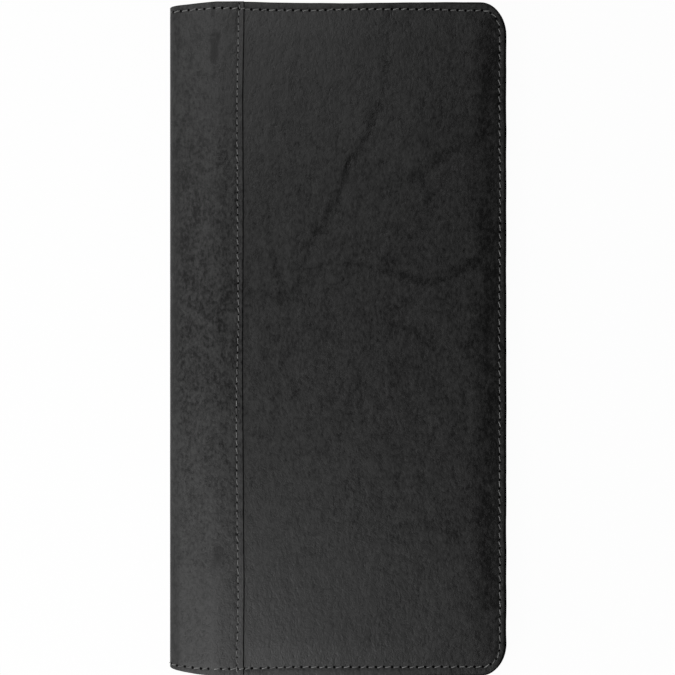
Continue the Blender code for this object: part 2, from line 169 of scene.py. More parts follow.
@dataclass(frozen=True)
class CaseSizes:
    """Sizes of the case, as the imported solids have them."""

    width: float
    height: float
    thickness: float
    strip_reach: float
    front_step: float
    corner: float = 9.0 * MM
    fold_reach: float = 15.4 * MM
    fold_taper: float = math.radians(12.0)
    fold_radius: float = 4.0 * MM
    strip_thickness: float = 1.1 * MM
    strip_edge_thickness: float = 0.55 * MM
    panel_inner: float = 1.6 * MM
    lining_outer: float = 2.9 * MM
    page_start: float = 18.2 * MM
    page_inset: float = 0.3 * MM

    @classmethod
    def from_solids(cls) -> "CaseSizes":
        """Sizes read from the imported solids."""
        low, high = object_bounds()
        reach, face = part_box("strip_front")[1].x - low.x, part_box("front_panel")[1].z
        return cls(high.x - low.x, high.y - low.y, high.z, strip_reach=reach, front_step=high.z - face)

    def to_edge(self, reach: Values, height: Values, inset: float = 0.0) -> Values:
        """How far a place on a page lies inside the page's three open sides.

        Args:
            reach: Reaches along the leather.
            height: Heights above the middle.
            inset: How far the piece's own outline lies inside the cover's.

        Returns:
            Distances, which are 0 on the outline.
        """
        end, top = self.width - inset, self.height / 2 - inset
        radius = self.corner - inset
        across, up = reach - (end - radius), np.abs(height) - (top - radius)
        in_corner = (across > 0.0) & (up > 0.0)
        straight = np.minimum(end - reach, top - np.abs(height))
        return np.where(in_corner, radius - np.hypot(across, up), straight)

    def outline(self, start: float, step: float, close: Sequence[float] = ()) -> Values:
        """Outline of a page from its bottom, round the free edge, to its top.

        Args:
            start: Reach where it starts and ends.
            step: Distance between its points.
            close: More reaches that get a point at both ends of the page.

        Returns:
            Reach and height of each point, and the outward direction there, one row for each point.
        """
        half, last, radius = self.height / 2, self.width, self.corner
        reaches = tidy(spread(start, last - radius, step) + list(close), start, last - radius, [])
        path = [(reach, -half, 0.0, -1.0) for reach in reaches]
        for upward in (-1.0, 1.0):
            turns = spread(0.0, math.pi / 2, step / radius)
            for turn in turns[::-1] if upward < 0.0 else turns:
                x, y = math.cos(turn), upward * math.sin(turn)
                path.append((last - radius + radius * x, upward * (half - radius) + radius * y, x, y))
            if upward < 0.0:
                path += [(last, height, 1.0, 0.0) for height in spread(radius - half, half - radius, step)]
        path += [(reach, half, 0.0, 1.0) for reach in reversed(reaches)]
        rows = ((round(a, 8), round(b, 8), round(c, 6), round(d, 6)) for a, b, c, d in path)
        return np.array(list(dict.fromkeys(rows)))


class Fold:
    """Line of the strip's outer face, from the flat of a cover round to the middle of the spine."""

    step = 0.02 * MM
    crease_length = 8.0 * MM

    def __init__(self, sizes: CaseSizes) -> None:
        """Trace the line from the sizes of the fold."""
        taper, radius, start = sizes.fold_taper, sizes.fold_radius, sizes.fold_reach
        bend_depth = (radius + (start - radius) * math.sin(taper)) / math.cos(taper)
        taper_length = (start - radius * (1.0 - math.sin(taper))) / math.cos(taper)
        bend_length = radius * (math.pi / 2 - taper)
        length = taper_length + bend_length + sizes.thickness / 2 - bend_depth
        self.bend_start = start - taper_length
        self.bend_end = self.bend_start - bend_length
        self.middle = start - length
        along = np.arange(0.0, length + self.crease_length, self.step)
        past = along - self.crease_length / 2
        turn = taper * ease((past + self.crease_length / 2) / self.crease_length)
        self.turns = turn + (math.pi / 2 - taper) * np.clip((past - taper_length) / bend_length, 0.0, 1.0)
        self.places = start - past
        ahead = (self.turns[1:] + self.turns[:-1]) / 2
        self.reaches = start + self.crease_length / 2 - np.append(0.0, np.cumsum(np.cos(ahead)) * self.step)
        self.depths = np.append(0.0, np.cumsum(np.sin(ahead)) * self.step)

    def read(self, reach: Values, line: Values) -> Values:
        """Values of a line along the fold at some reaches."""
        return np.interp(reach, self.places[::-1], line[::-1])

    def place(self, reach: Values, depth: Values) -> tuple[Values, Values]:
        """Place of points of the leather across the case.

        Args:
            reach: Reaches along the leather.
            depth: Depths under the outer face, square to it.

        Returns:
            Distances from the outermost line of the fold, and depths from the cover's plane.
        """
        flat = reach >= self.places[0]
        across, down, turn = (self.read(reach, line) for line in (self.reaches, self.depths, self.turns))
        across = np.where(flat, reach, across + np.sin(turn) * depth)
        return across, np.where(flat, depth, down + np.cos(turn) * depth)

    def outward(self, reach: Values) -> tuple[Values, Values]:
        """Direction out of the leather at some reaches, across the case and down into it."""
        turn = self.read(reach, self.turns)
        return -np.sin(turn), -np.cos(turn)


@dataclass(frozen=True)
class Page:
    """One cover with its page, which gives places in the shared frame."""

    side: Side
    sizes: CaseSizes
    fold: Fold

    def world(self, reach: Values, height: Values, depth: Values) -> Values:
        """Places in the shared frame, one row for each point."""
        across, down = self.fold.place(np.asarray(reach), np.asarray(depth))
        up = self.sizes.thickness - down if self.side is Side.FRONT else down
        return np.stack([across - self.sizes.width / 2, np.broadcast_to(height, across.shape), up], axis=1)

    def outward(self, reach: Values) -> Values:
        """Directions out of the leather in the shared frame."""
        across, down = self.fold.outward(np.asarray(reach))
        return np.stack([across, np.zeros_like(across), -down if self.side is Side.FRONT else down], axis=1)

    def bend_ends(self) -> tuple[Vector, Vector]:
        """Places on the outer face where the fold's bend starts, on the cover, and ends, on the spine."""
        ends = self.world(np.array([self.fold.bend_start, self.fold.bend_end]), np.zeros(2), np.zeros(2))
        return Vector(ends[0]), Vector(ends[1])


class Net:
    """Flat net of points over a piece, by reach and height, joined into cells."""

    corner_steps = 14

    def __init__(self) -> None:
        """Start with no points."""
        self.index: dict[tuple[int, int], int] = {}
        self.points: list[tuple[float, float]] = []
        self.cells: list[list[int]] = []

    def point(self, reach: float, height: float) -> int:
        """Number of the point at a place, which is added where there is none yet."""
        key = (round(reach * 1e7), round(height * 1e7))
        if key not in self.index:
            self.index[key] = len(self.points)
            self.points.append((reach, height))
        return self.index[key]

    def add_cell(self, corners: Sequence[tuple[float, float]]) -> None:
        """Join some places, in order, into a cell, which has three sides at a pole."""
        ring = list(dict.fromkeys(self.point(*corner) for corner in corners))
        if len(ring) > 2:
            self.cells.append(ring)

    def add_grid(
        self, columns: Sequence[float], rows: Sequence[float], skip: Callable[[float, float], bool]
    ) -> None:
        """Add the cells of a grid, but for those whose middle is to be skipped."""
        for left, right in zip(columns, columns[1:]):
            for low, high in zip(rows, rows[1:]):
                if not skip((left + right) / 2, (low + high) / 2):
                    self.add_cell([(left, low), (right, low), (right, high), (left, high)])

    def add_corner(self, centre: tuple[float, float], radii: Sequence[float], upward: float) -> None:
        """Add a round corner as rings about its centre."""
        turns = [math.pi / 2 * k / self.corner_steps for k in range(self.corner_steps + 1)]
        for inner, outer in zip(radii, radii[1:]):
            for one, other in zip(turns, turns[1:]):
                ring = [(inner, one), (outer, one), (outer, other), (inner, other)]
                turned = [(r * math.cos(a), upward * r * math.sin(a)) for r, a in ring]
                places = [(centre[0] + x, centre[1] + y) for x, y in turned]
                self.add_cell(places[::-1] if upward < 0.0 else places)

    def rim(self) -> list[tuple[int, int]]:
        """Edges with a cell on one side only, in the direction of that cell."""
        edges = {(a, b) for ring in self.cells for a, b in zip(ring, ring[1:] + ring[:1])}
        return [(a, b) for a, b in sorted(edges) if (b, a) not in edges]


@dataclass(frozen=True)
class NetPlan:
    """How finely a piece is divided, and how far from its edges rows and columns are closer."""

    step: float
    rings: tuple[float, ...] = (0.0, 0.06, 0.14, 0.26, 0.42, 0.7, 1.1, 1.6, 2.0, 2.4, 2.8, 3.3, 4.0, 5.2, 6.8)

    def build(
        self,
        sizes: CaseSizes,
        start: float,
        inset: float = 0.0,
        mouth: float | None = None,
        close: Sequence[float] = (),
        start_edge: bool = False,
        end: float | None = None,
        floor: float | None = None,
    ) -> Net:
        """Net over a page or a part of it.

        Args:
            sizes: Sizes of the case.
            start: Reach where the piece starts, on the fold's side.
            inset: How far its outline lies inside the cover's.
            mouth: Height of its open top, where it doesn't run to the page's end.
            close: More reaches that get a column.
            start_edge: Whether its start is a finished edge as well.
            end: Reach where it ends, where that isn't the free edge.
            floor: Height of its foot, where it doesn't run to the page's end.

        Returns:
            The net.
        """
        rings = [ring * MM for ring in self.rings]
        radius = sizes.corner - inset
        inside = [ring for ring in rings if ring < radius]
        last = sizes.width - inset if end is None else end
        top = sizes.height / 2 - inset
        rounded = end is None
        shoulder = last - radius if rounded else last - rings[-1]
        columns = [last - ring for ring in inside] + [shoulder]
        columns += spread(start, shoulder, self.step) + list(close)
        columns += [start + ring for ring in rings] if start_edge else []
        low = -top if floor is None else floor
        high = top if mouth is None else mouth
        waist_low = -top + radius if floor is None else floor + rings[-1]
        waist_high = top - radius if mouth is None else mouth - rings[-1]
        rows = spread(waist_low, waist_high, self.step)
        rows += [low + ring for ring in inside] + [high - ring for ring in inside]
        columns, rows = tidy(columns, start, last, [shoulder]), tidy(rows, low, high, [waist_low, waist_high])
        net = Net()

        def is_corner(reach: float, height: float) -> bool:
            """Whether a place lies in the square of a round corner."""
            past_low = floor is None and height < waist_low
            past_high = mouth is None and height > waist_high
            return rounded and reach > shoulder and (past_low or past_high)

        net.add_grid(columns, rows, is_corner)
        radii = [reach - shoulder for reach in columns if reach >= shoulder - 1e-9]
        for is_open, waist, upward in ((floor is None, waist_low, -1.0), (mouth is None, waist_high, 1.0)):
            if rounded and is_open:
                net.add_corner((shoulder, waist), radii, upward)
        return net


def add_marks(mesh: bpy.types.Mesh, marks: dict[str, Values]) -> None:
    """Store a number or a vector for each point of a mesh, by name."""
    for name, values in marks.items():
        kind, key = ("FLOAT_VECTOR", "vector") if values.ndim == 2 else ("FLOAT", "value")
        mesh.attributes.new(name, kind, "POINT").data.foreach_set(key, values.astype(np.float32).ravel())


def link_new(name: str, data: bpy.types.ID) -> bpy.types.Object:
    """New object of a mesh, a lamp or a camera, in the scene."""
    obj = bpy.data.objects.new(name, data)
    bpy.context.scene.collection.objects.link(obj)
    return obj


def make_mesh(
    name: str,
    points: Values,
    faces: list[list[int]],
    marks: dict[str, Values],
    material: bpy.types.Material,
    sharp_from: float,
) -> bpy.types.Object:
    """Make a smooth object.

    Args:
        name: Its name.
        points: Places of its points.
        faces: Numbers of the points round each face.
        marks: What is stored on the points, by name.
        material: Its finish.
        sharp_from: Angle in degrees from which its edges stay sharp.

    Returns:
        The object, at the origin.
    """
    mesh = bpy.data.meshes.new(name)
    mesh.from_pydata(points, [], faces)
    add_marks(mesh, marks)
    mesh.shade_smooth()
    mesh.set_sharp_from_angle(angle=math.radians(sharp_from))
    mesh.materials.append(material)
    return link_new(name, mesh)


class Socket:
    """What a node gives. Sums of numbers are written as plain expressions."""

    def __init__(self, nodes: "Nodes", link: bpy.types.NodeSocket) -> None:
        """Wrap one output of a node."""
        self.nodes = nodes
        self.link = link

    def __add__(self, other: "float | Socket") -> "Socket":
        """Sum."""
        return self.nodes.math("ADD", self, other)

    __radd__ = __add__

    def __sub__(self, other: "float | Socket") -> "Socket":
        """Difference."""
        return self.nodes.math("SUBTRACT", self, other)

    def __rsub__(self, other: "float | Socket") -> "Socket":
        """Difference from a number."""
        return self.nodes.math("SUBTRACT", other, self)

    def __mul__(self, other: "float | Socket") -> "Socket":
        """Product."""
        return self.nodes.math("MULTIPLY", self, other)

    __rmul__ = __mul__

    def clamped(self) -> "Socket":
        """The same number, kept from 0 to 1."""
        return self.nodes.math("MINIMUM", self.nodes.math("MAXIMUM", self, 0.0), 1.0)

    def between(self, low: float, high: float) -> "Socket":
        """Smooth step from 0 at low to 1 at high."""
        inputs = {"Value": self, "From Min": low, "From Max": high}
        return self.nodes.get("ShaderNodeMapRange", {"interpolation_type": "SMOOTHSTEP"}, inputs)


class Nodes:
    """Nodes of a finish, of the world, or of what is set along a seam."""

    def __init__(self, tree: bpy.types.NodeTree) -> None:
        """Start afresh, with no nodes."""
        self.tree = tree
        tree.nodes.clear()

    @classmethod
    def of(cls, owner: "bpy.types.Material | bpy.types.World") -> "Nodes":
        """Nodes of a material or a world."""
        owner.use_nodes = True
        return cls(owner.node_tree)

    def add(self, kind: str, settings: dict | None = None, inputs: dict | None = None) -> bpy.types.Node:
        """Add a node.

        Args:
            kind: Type of the node.
            settings: Its own settings, set first.
            inputs: Values or links of its sockets, by name or number.

        Returns:
            The node.
        """
        node = self.tree.nodes.new(kind)
        for name, value in (settings or {}).items():
            setattr(node, name, value)
        for key, value in (inputs or {}).items():
            if isinstance(value, Socket):
                self.tree.links.new(value.link, node.inputs[key])
            else:
                node.inputs[key].default_value = value
        return node

    def get(
        self, kind: str, settings: dict | None = None, inputs: dict | None = None, output: int | str = 0
    ) -> Socket:
        """One output of a new node."""
        return Socket(self, self.add(kind, settings, inputs).outputs[output])

    def math(self, operation: str, *values: "float | Socket") -> Socket:
        """Result of a Math node."""
        return self.get("ShaderNodeMath", {"operation": operation}, dict(enumerate(values)))

    def in_millimetres(self, place: Socket) -> Socket:
        """A place in millimetres."""
        return self.get("ShaderNodeVectorMath", {"operation": "SCALE"}, {0: place, "Scale": 1.0 / MM})

    def stored(self, name: str, output: str) -> Socket:
        """What is stored on the mesh under a name."""
        return self.get("ShaderNodeAttribute", {"attribute_name": name}, output=output)

    def lay(self) -> Socket:
        """Place on the leather, which stays with it where it bends."""
        return self.in_millimetres(self.stored("lay", "Vector"))

    def place(self) -> Socket:
        """Place in the shared frame."""
        return self.in_millimetres(self.get("ShaderNodeTexCoord", output="Object"))

    def mark(self, name: str) -> Socket:
        """Number stored on the mesh under a name, or 0 where there is none."""
        return self.stored(name, "Fac")

    def part(self, vector: Socket, axis: int) -> Socket:
        """One of the three numbers of a vector."""
        return self.get("ShaderNodeSeparateXYZ", {}, {0: vector}, axis)

    def noise(self, place: Socket, size: "float | Colour", detail: float = 2.0) -> Socket:
        """Uneven pattern about 0.

        Args:
            place: Where to read it, in millimetres.
            size: Width of its spots, or their width along each axis, in millimetres.
            detail: How many finer layers it has.

        Returns:
            Numbers from about -1 to 1.
        """
        pace = tuple(1.0 / value for value in (size if isinstance(size, tuple) else (size,) * 3))
        scaled = self.get("ShaderNodeVectorMath", {"operation": "MULTIPLY"}, {0: place, 1: pace})
        inputs = {"Vector": scaled, "Scale": 1.0, "Detail": detail, "Roughness": 0.55}
        return (self.get("ShaderNodeTexNoise", {}, inputs) - 0.5) * 3.0

    def mix(self, share: Socket, one: "Colour | Socket", other: "Colour | Socket") -> Socket:
        """Colour between two others."""
        ends = {6: one, 7: other}
        ends = {key: (*value, 1.0) if isinstance(value, tuple) else value for key, value in ends.items()}
        return self.get("ShaderNodeMix", {"data_type": "RGBA"}, {0: share, **ends}, 2)

    def bump(self, height: Socket, depth: float) -> Socket:
        """Normal for a relief whose height runs over about 1, of a depth in millimetres."""
        return self.get("ShaderNodeBump", {}, {"Height": height, "Distance": depth * MM, "Strength": 1.0})


@dataclass(frozen=True)
class Finish:
    """Procedural material of a stuff, between a dark and a light colour."""

    name: str
    dark: Colour
    light: Colour

    def inputs(self, nodes: Nodes) -> dict[str, object]:
        """Values and links of the shader's inputs."""
        raise NotImplementedError

    def material(self) -> bpy.types.Material:
        """Build the material."""
        material = bpy.data.materials.new(self.name)
        nodes = Nodes.of(material)
        shader = nodes.get("ShaderNodeBsdfPrincipled", {}, self.inputs(nodes))
        nodes.add("ShaderNodeOutputMaterial", {}, {"Surface": shader})
        return material


@dataclass(frozen=True)
class Leather(Finish):
    """Black leather with a streaked, clouded tone and painted edges. Its creases get painted shade, and some
    edges a lighter tone that is burnish and painted highlight.
    """

    roughness: float = 0.42
    clouds: float = 0.2
    patches: float = 0.32
    mottle: float = 0.42
    streaks: float = 0.42
    pores: float = 0.26
    spots: float = 0.3
    # Strength of the painted shade along the creases.
    shaded_creases: float = 0.95
    gloss: float = 0.43
    gloss_share: float = 0.12
    crease_dulling: float = 0.0
    relief: float = 0.055

    def inputs(self, nodes: Nodes) -> dict[str, object]:
        """Values and links of the shader's inputs."""
        lay = nodes.lay()
        clouds = nodes.noise(lay, (17.0, 24.0, 40.0))
        patches = nodes.noise(lay, (3.6, 6.0, 8.0))
        mottle = nodes.noise(lay, (1.3, 1.8, 2.2))
        streaks = nodes.noise(lay, (0.8, 1.5, 1.8))
        pores = nodes.noise(lay, (0.42, 0.55, 0.55), 1.0)
        spots = nodes.noise(lay, (1.0, 1.9, 2.0), 1.0).between(0.3, 1.0)
        shaded_crease, ink, burnish_and_highlight, worn = (nodes.mark(name) for name in ("shaded_crease", "ink", "burnish_and_highlight", "worn"))
        grain = mottle * self.mottle + streaks * self.streaks + pores * self.pores - spots * self.spots
        # Darker along creases, which paints their shade; lighter where marked beside edges, which is burnish
        # and painted highlight.
        tone = 0.53 + clouds * self.clouds + patches * self.patches + grain - shaded_crease * self.shaded_creases + burnish_and_highlight * 0.3
        ink = ink.between(0.25, 0.75)
        leather = nodes.mix(tone.clamped(), self.dark, self.light)
        rough = self.roughness + (tone - 0.5) * self.gloss_share + ink * (0.5 - self.roughness) + worn * 0.2
        rough = rough + shaded_crease.between(0.25, 0.6) * self.crease_dulling
        relief = patches * 0.6 + mottle * 0.4 + streaks * 0.25 + pores * 0.25 - shaded_crease * 0.3 - spots * 0.25
        return {
            "Base Color": nodes.mix(ink, leather, PAINT_BLACK),
            "Roughness": rough.clamped(),
            "Normal": nodes.bump(relief * (1.0 - ink * 0.7), self.relief),
            "IOR": 1.48,
            "Specular IOR Level": self.gloss,
        }


@dataclass(frozen=True)
class Cloth(Finish):
    """Fine woven lining."""

    name: str = "lining_cloth_woven"
    dark: Colour = (0.006, 0.006, 0.0065)
    light: Colour = (0.020, 0.020, 0.021)
    thread: float = 0.42

    def wave(self, nodes: Nodes, place: Socket, axis: int) -> Socket:
        """Rounded threads that run one way."""
        return nodes.math("SINE", nodes.part(place, axis) * (2.0 * math.pi / self.thread)) * 0.5 + 0.5

    def inputs(self, nodes: Nodes) -> dict[str, object]:
        """Values and links of the shader's inputs."""
        lay = nodes.lay()
        warp, weft = self.wave(nodes, lay, 0), self.wave(nodes, lay, 1)
        weave = warp * (1.0 - weft) + weft * (1.0 - warp)
        uneven = nodes.noise(lay, (9.0, 12.0, 12.0), 3.0)
        slubs = nodes.noise(lay, (0.5, 5.0, 2.0))
        ink = nodes.mark("ink").between(0.25, 0.75)
        tone = 0.25 + weave * 0.5 + uneven * 0.14 + slubs * 0.12
        return {
            "Base Color": nodes.mix(ink, nodes.mix(tone.clamped(), self.dark, self.light), PAINT_BLACK),
            "Roughness": (0.82 - slubs * 0.05 - ink * 0.4).clamped(),
            "Normal": nodes.bump(weave + slubs * 0.3, 0.05),
            "Sheen Weight": 0.15,
        }


@dataclass(frozen=True)
class EdgePaint(Finish):
    """Black coat on the cut edges, in which the layers under it can just be told."""

    name: str = "painted_edge"
    dark: Colour = (0.0015, 0.0015, 0.0015)
    light: Colour = (0.006, 0.006, 0.0062)

    def inputs(self, nodes: Nodes) -> dict[str, object]:
        """Values and links of the shader's inputs."""
        lay = nodes.lay()
        drag, specks = nodes.noise(lay, (6.0, 6.0, 0.25)), nodes.noise(lay, (0.3, 0.3, 0.2))
        tone = (0.4 + drag * 0.2 + specks * 0.12).clamped()
        return {
            "Base Color": nodes.mix(tone, self.dark, self.light),
            "Roughness": (0.72 + drag * 0.08).clamped(),
            "Normal": nodes.bump(drag * 0.5 + specks * 0.4, 0.02),
            "Specular IOR Level": 0.03,
        }


@dataclass(frozen=True)
class Thread(Finish):
    """Waxed grey thread."""

    name: str = "waxed_thread"
    dark: Colour = (0.06, 0.06, 0.06)
    light: Colour = (0.31, 0.31, 0.305)

    def inputs(self, nodes: Nodes) -> dict[str, object]:
        """Values and links of the shader's inputs."""
        place = nodes.place()
        wear, strands = nodes.noise(place, 2.4), nodes.noise(place, 0.14)
        tone = (0.5 + wear * 0.6 + strands * 0.25).clamped()
        return {
            "Base Color": nodes.mix(tone, self.dark, self.light),
            "Roughness": (0.62 + strands * 0.08).clamped(),
            "Normal": nodes.bump(strands, 0.05),
        }


@dataclass(frozen=True)
class NeedleHoleShadow(Finish):
    """Painted shadow inside a needle hole, on a flat disc laid over the leather."""

    name: str = "needle_hole_shadow"
    dark: Colour = (0.0008, 0.0008, 0.0008)
    light: Colour = (0.0022, 0.0022, 0.0022)

    def inputs(self, nodes: Nodes) -> dict[str, object]:
        """Values and links of the shader's inputs."""
        fray = nodes.noise(nodes.place(), 0.25, 1.0)
        return {
            "Base Color": nodes.mix((0.4 + fray * 0.3).clamped(), self.dark, self.light),
            "Roughness": 0.95,
            "Specular IOR Level": 0.05,
        }


@dataclass(frozen=True)
class Card(Finish):
    """Pressed card of the stiffening boards, whose cut edge is painted with the leather's."""

    name: str = "pressed_card"
    dark: Colour = (0.13, 0.115, 0.09)
    light: Colour = (0.27, 0.245, 0.205)

    def inputs(self, nodes: Nodes) -> dict[str, object]:
        """Values and links of the shader's inputs."""
        place = nodes.place()
        pulp, fibres = nodes.noise(place, 0.7, 4.0), nodes.noise(place, (0.25, 3.0, 0.4))
        level = nodes.math("ABSOLUTE", nodes.part(nodes.get("ShaderNodeTexCoord", output="Normal"), 2))
        card = nodes.mix((0.5 + pulp * 0.3 + fibres * 0.2).clamped(), self.dark, self.light)
        return {
            "Base Color": nodes.mix(level.between(0.3, 0.7), (0.004, 0.004, 0.004), card),
            "Roughness": (0.86 + pulp * 0.06).clamped(),
            "Normal": nodes.bump(pulp * 0.5 + fibres * 0.5, 0.05),
        }


@dataclass(frozen=True)
class Photo:
    """How the photograph shows the case: where its front lies in the frame, and pixels to a metre of it."""

    left: float = 168.5
    middle: float = 338.8
    per_metre: float = 2861.3

    def reach(self, column: float) -> float:
        """Reach of a column of pixels on the front cover."""
        return (column - self.left) / self.per_metre

    def height(self, row: float) -> float:
        """Height of a row of pixels on the front cover."""
        return (self.middle - row) / self.per_metre


PHOTO = Photo()


@dataclass(frozen=True)
class ShadedCrease:
    """Crease in the leather, along points of the photograph, whose shade is painted as a darker tone."""

    points: tuple[tuple[float, float], ...]
    width: float
    strength: float


FRONT_SHADED_CREASES = (
    ShadedCrease(((392, 8), (388, 20), (384, 81), (379, 105)), 1.5 * MM, 0.45),
    ShadedCrease(((379, 105), (368, 135), (349, 165)), 1.2 * MM, 0.75),
    ShadedCrease(((350, 158), (343, 183), (334, 203)), 0.9 * MM, 1.0),
    ShadedCrease(((334, 203), (322, 224), (310, 243)), 1.4 * MM, 0.55),
    ShadedCrease(((310, 243), (302, 268), (297, 294)), 1.6 * MM, 0.25),
    ShadedCrease(((496, 132), (465, 140), (445, 155), (421, 177), (412, 174)), 1.6 * MM, 0.55),
    ShadedCrease(((421, 177), (431, 196), (427, 206), (420, 222), (413, 236)), 1.2 * MM, 0.5),
    ShadedCrease(((479, 105), (459, 118), (450, 128)), 1.1 * MM, 0.4),
    ShadedCrease(((310, 270), (334, 263), (367, 265), (401, 275)), 1.3 * MM, 0.45),
    ShadedCrease(((401, 275), (428, 283), (449, 278), (469, 265), (494, 255)), 1.5 * MM, 0.55),
    ShadedCrease(((394, 324), (415, 332), (435, 348)), 1.0 * MM, 0.5),
    ShadedCrease(((398, 309), (408, 303)), 1.2 * MM, 0.55),
    ShadedCrease(((265, 192), (270, 236), (281, 290), (283, 304)), 1.2 * MM, 0.35),
    ShadedCrease(((300, 381), (293, 398)), 1.3 * MM, 0.5),
    ShadedCrease(((288, 574), (292, 594), (295, 621)), 1.2 * MM, 0.4),
    ShadedCrease(((401, 525), (428, 525), (452, 532)), 1.4 * MM, 0.45),
    # Broad dark band up the free edge: painted shade of the leather sloping down towards it.
    ShadedCrease(((491, 20), (490, 180), (491, 420), (490, 600)), 3.6 * MM, 0.55),
)
STRIP_SHADED_CREASES = (
    # The first two: the line where the strip starts to taper into the fold, with painted shade of that
    # crease.
    ShadedCrease(((213, 2), (213.6, 30), (214, 82)), 0.8 * MM, 0.7),
    ShadedCrease(((216, 36), (213, 60)), 1.8 * MM, 0.9),
    ShadedCrease(((196, 283), (194, 298)), 1.2 * MM, 0.2),
    ShadedCrease(((186, 110), (180, 130), (176, 142)), 1.1 * MM, 0.55),
    ShadedCrease(((218, 548), (214, 568)), 2.2 * MM, 0.8),
    ShadedCrease(((224, 300), (221, 345)), 1.2 * MM, 0.35),
    ShadedCrease(((206, 400), (210, 440)), 1.3 * MM, 0.35),
    # Broad, faint darkening of the strip beside the fold's bend.
    ShadedCrease(((176, 160), (178, 400)), 9.0 * MM, 0.25),
)
BACK_SHADED_CREASES = (
    ShadedCrease(((300, 90), (330, 130), (372, 160), (420, 170)), 1.3 * MM, 0.55),
    ShadedCrease(((450, 330), (420, 372), (402, 430), (396, 470)), 1.4 * MM, 0.5),
    ShadedCrease(((270, 500), (310, 520), (350, 515)), 1.2 * MM, 0.4),
)


def shaded_crease_marks(shaded_creases: Sequence[ShadedCrease], reach: Values, height: Values) -> Values:
    """How strongly the painted shade of the creases darkens each point.

    Args:
        shaded_creases: The veins.
        reach: Reaches of the points.
        height: Heights of the points.

    Returns:
        Marks from 0 to 1.
    """
    wander = swell(reach, height, 6.0 * MM, 31) * 0.5 * MM
    total = np.zeros(np.shape(reach))
    for number, shaded_crease in enumerate(shaded_creases):
        line = [(PHOTO.reach(x), PHOTO.height(y)) for x, y in shaded_crease.points]
        nearest = np.full(np.shape(reach), np.inf)
        for (ax, ay), (bx, by) in zip(line, line[1:]):
            dx, dy = bx - ax, by - ay
            share = np.clip(((reach - ax) * dx + (height - ay) * dy) / (dx * dx + dy * dy), 0.0, 1.0)
            away = np.hypot(reach - ax - share * dx + wander, height - ay - share * dy)
            nearest = np.minimum(nearest, away)
        broken = 0.75 + 0.25 * swell(reach, height, 7.0 * MM, 40 + number)
        total = np.maximum(total, shaded_crease.strength * broken * bell(nearest, 0.0, shaded_crease.width))
    return np.clip(total, 0.0, 1.0)


@dataclass(frozen=True)
class Route:
    """Line up the cover that wanders as the photograph shows it, by rows and columns from its top."""

    points: tuple[tuple[float, float], ...]

    def wander(self, height: Values) -> Values:
        """How far the line lies to the right of its own middle at some heights."""
        heights = [PHOTO.height(row) for row, _ in reversed(self.points)]
        reaches = np.array([PHOTO.reach(column) for _, column in reversed(self.points)])
        numbers = np.arange(len(heights))
        at = np.interp(height, heights, numbers)
        whole = np.floor(at)
        return np.interp(whole + ease(at - whole), numbers, reaches - reaches.mean())


LAPPED_EDGE = {
    Side.FRONT: Route(
        ((20, 244.3), (100, 243.1), (200, 243.5), (375, 242.9), (490, 243.7), (585, 244.4), (665, 243.9))
    ),
    Side.BACK: Route(((20, 243.2), (150, 244.0), (330, 243.3), (480, 244.2), (665, 243.1))),
}
SPINE_SEAM = {
    Side.FRONT: Route(
        ((4, 239.6), (20, 238.3), (110, 237.0), (230, 237.6), (315, 238.3))
        + ((410, 236.4), (500, 237.1), (600, 238.1), (665, 236.8))
    ),
    Side.BACK: Route(((20, 237.2), (140, 238.1), (300, 237.0), (470, 237.9), (665, 237.0))),
}


@dataclass(frozen=True)
class Steps:
    """Distance that steps softly in and out along a line, each step by its rise, start and run, in mm."""

    level: float
    steps: tuple[tuple[float, float, float], ...]

    def at(self, across: Values) -> Values:
        """Distance at some reaches."""
        rises = (rise * ease((across / MM - start) / run) for rise, start, run in self.steps)
        return (self.level + sum(rises)) * MM


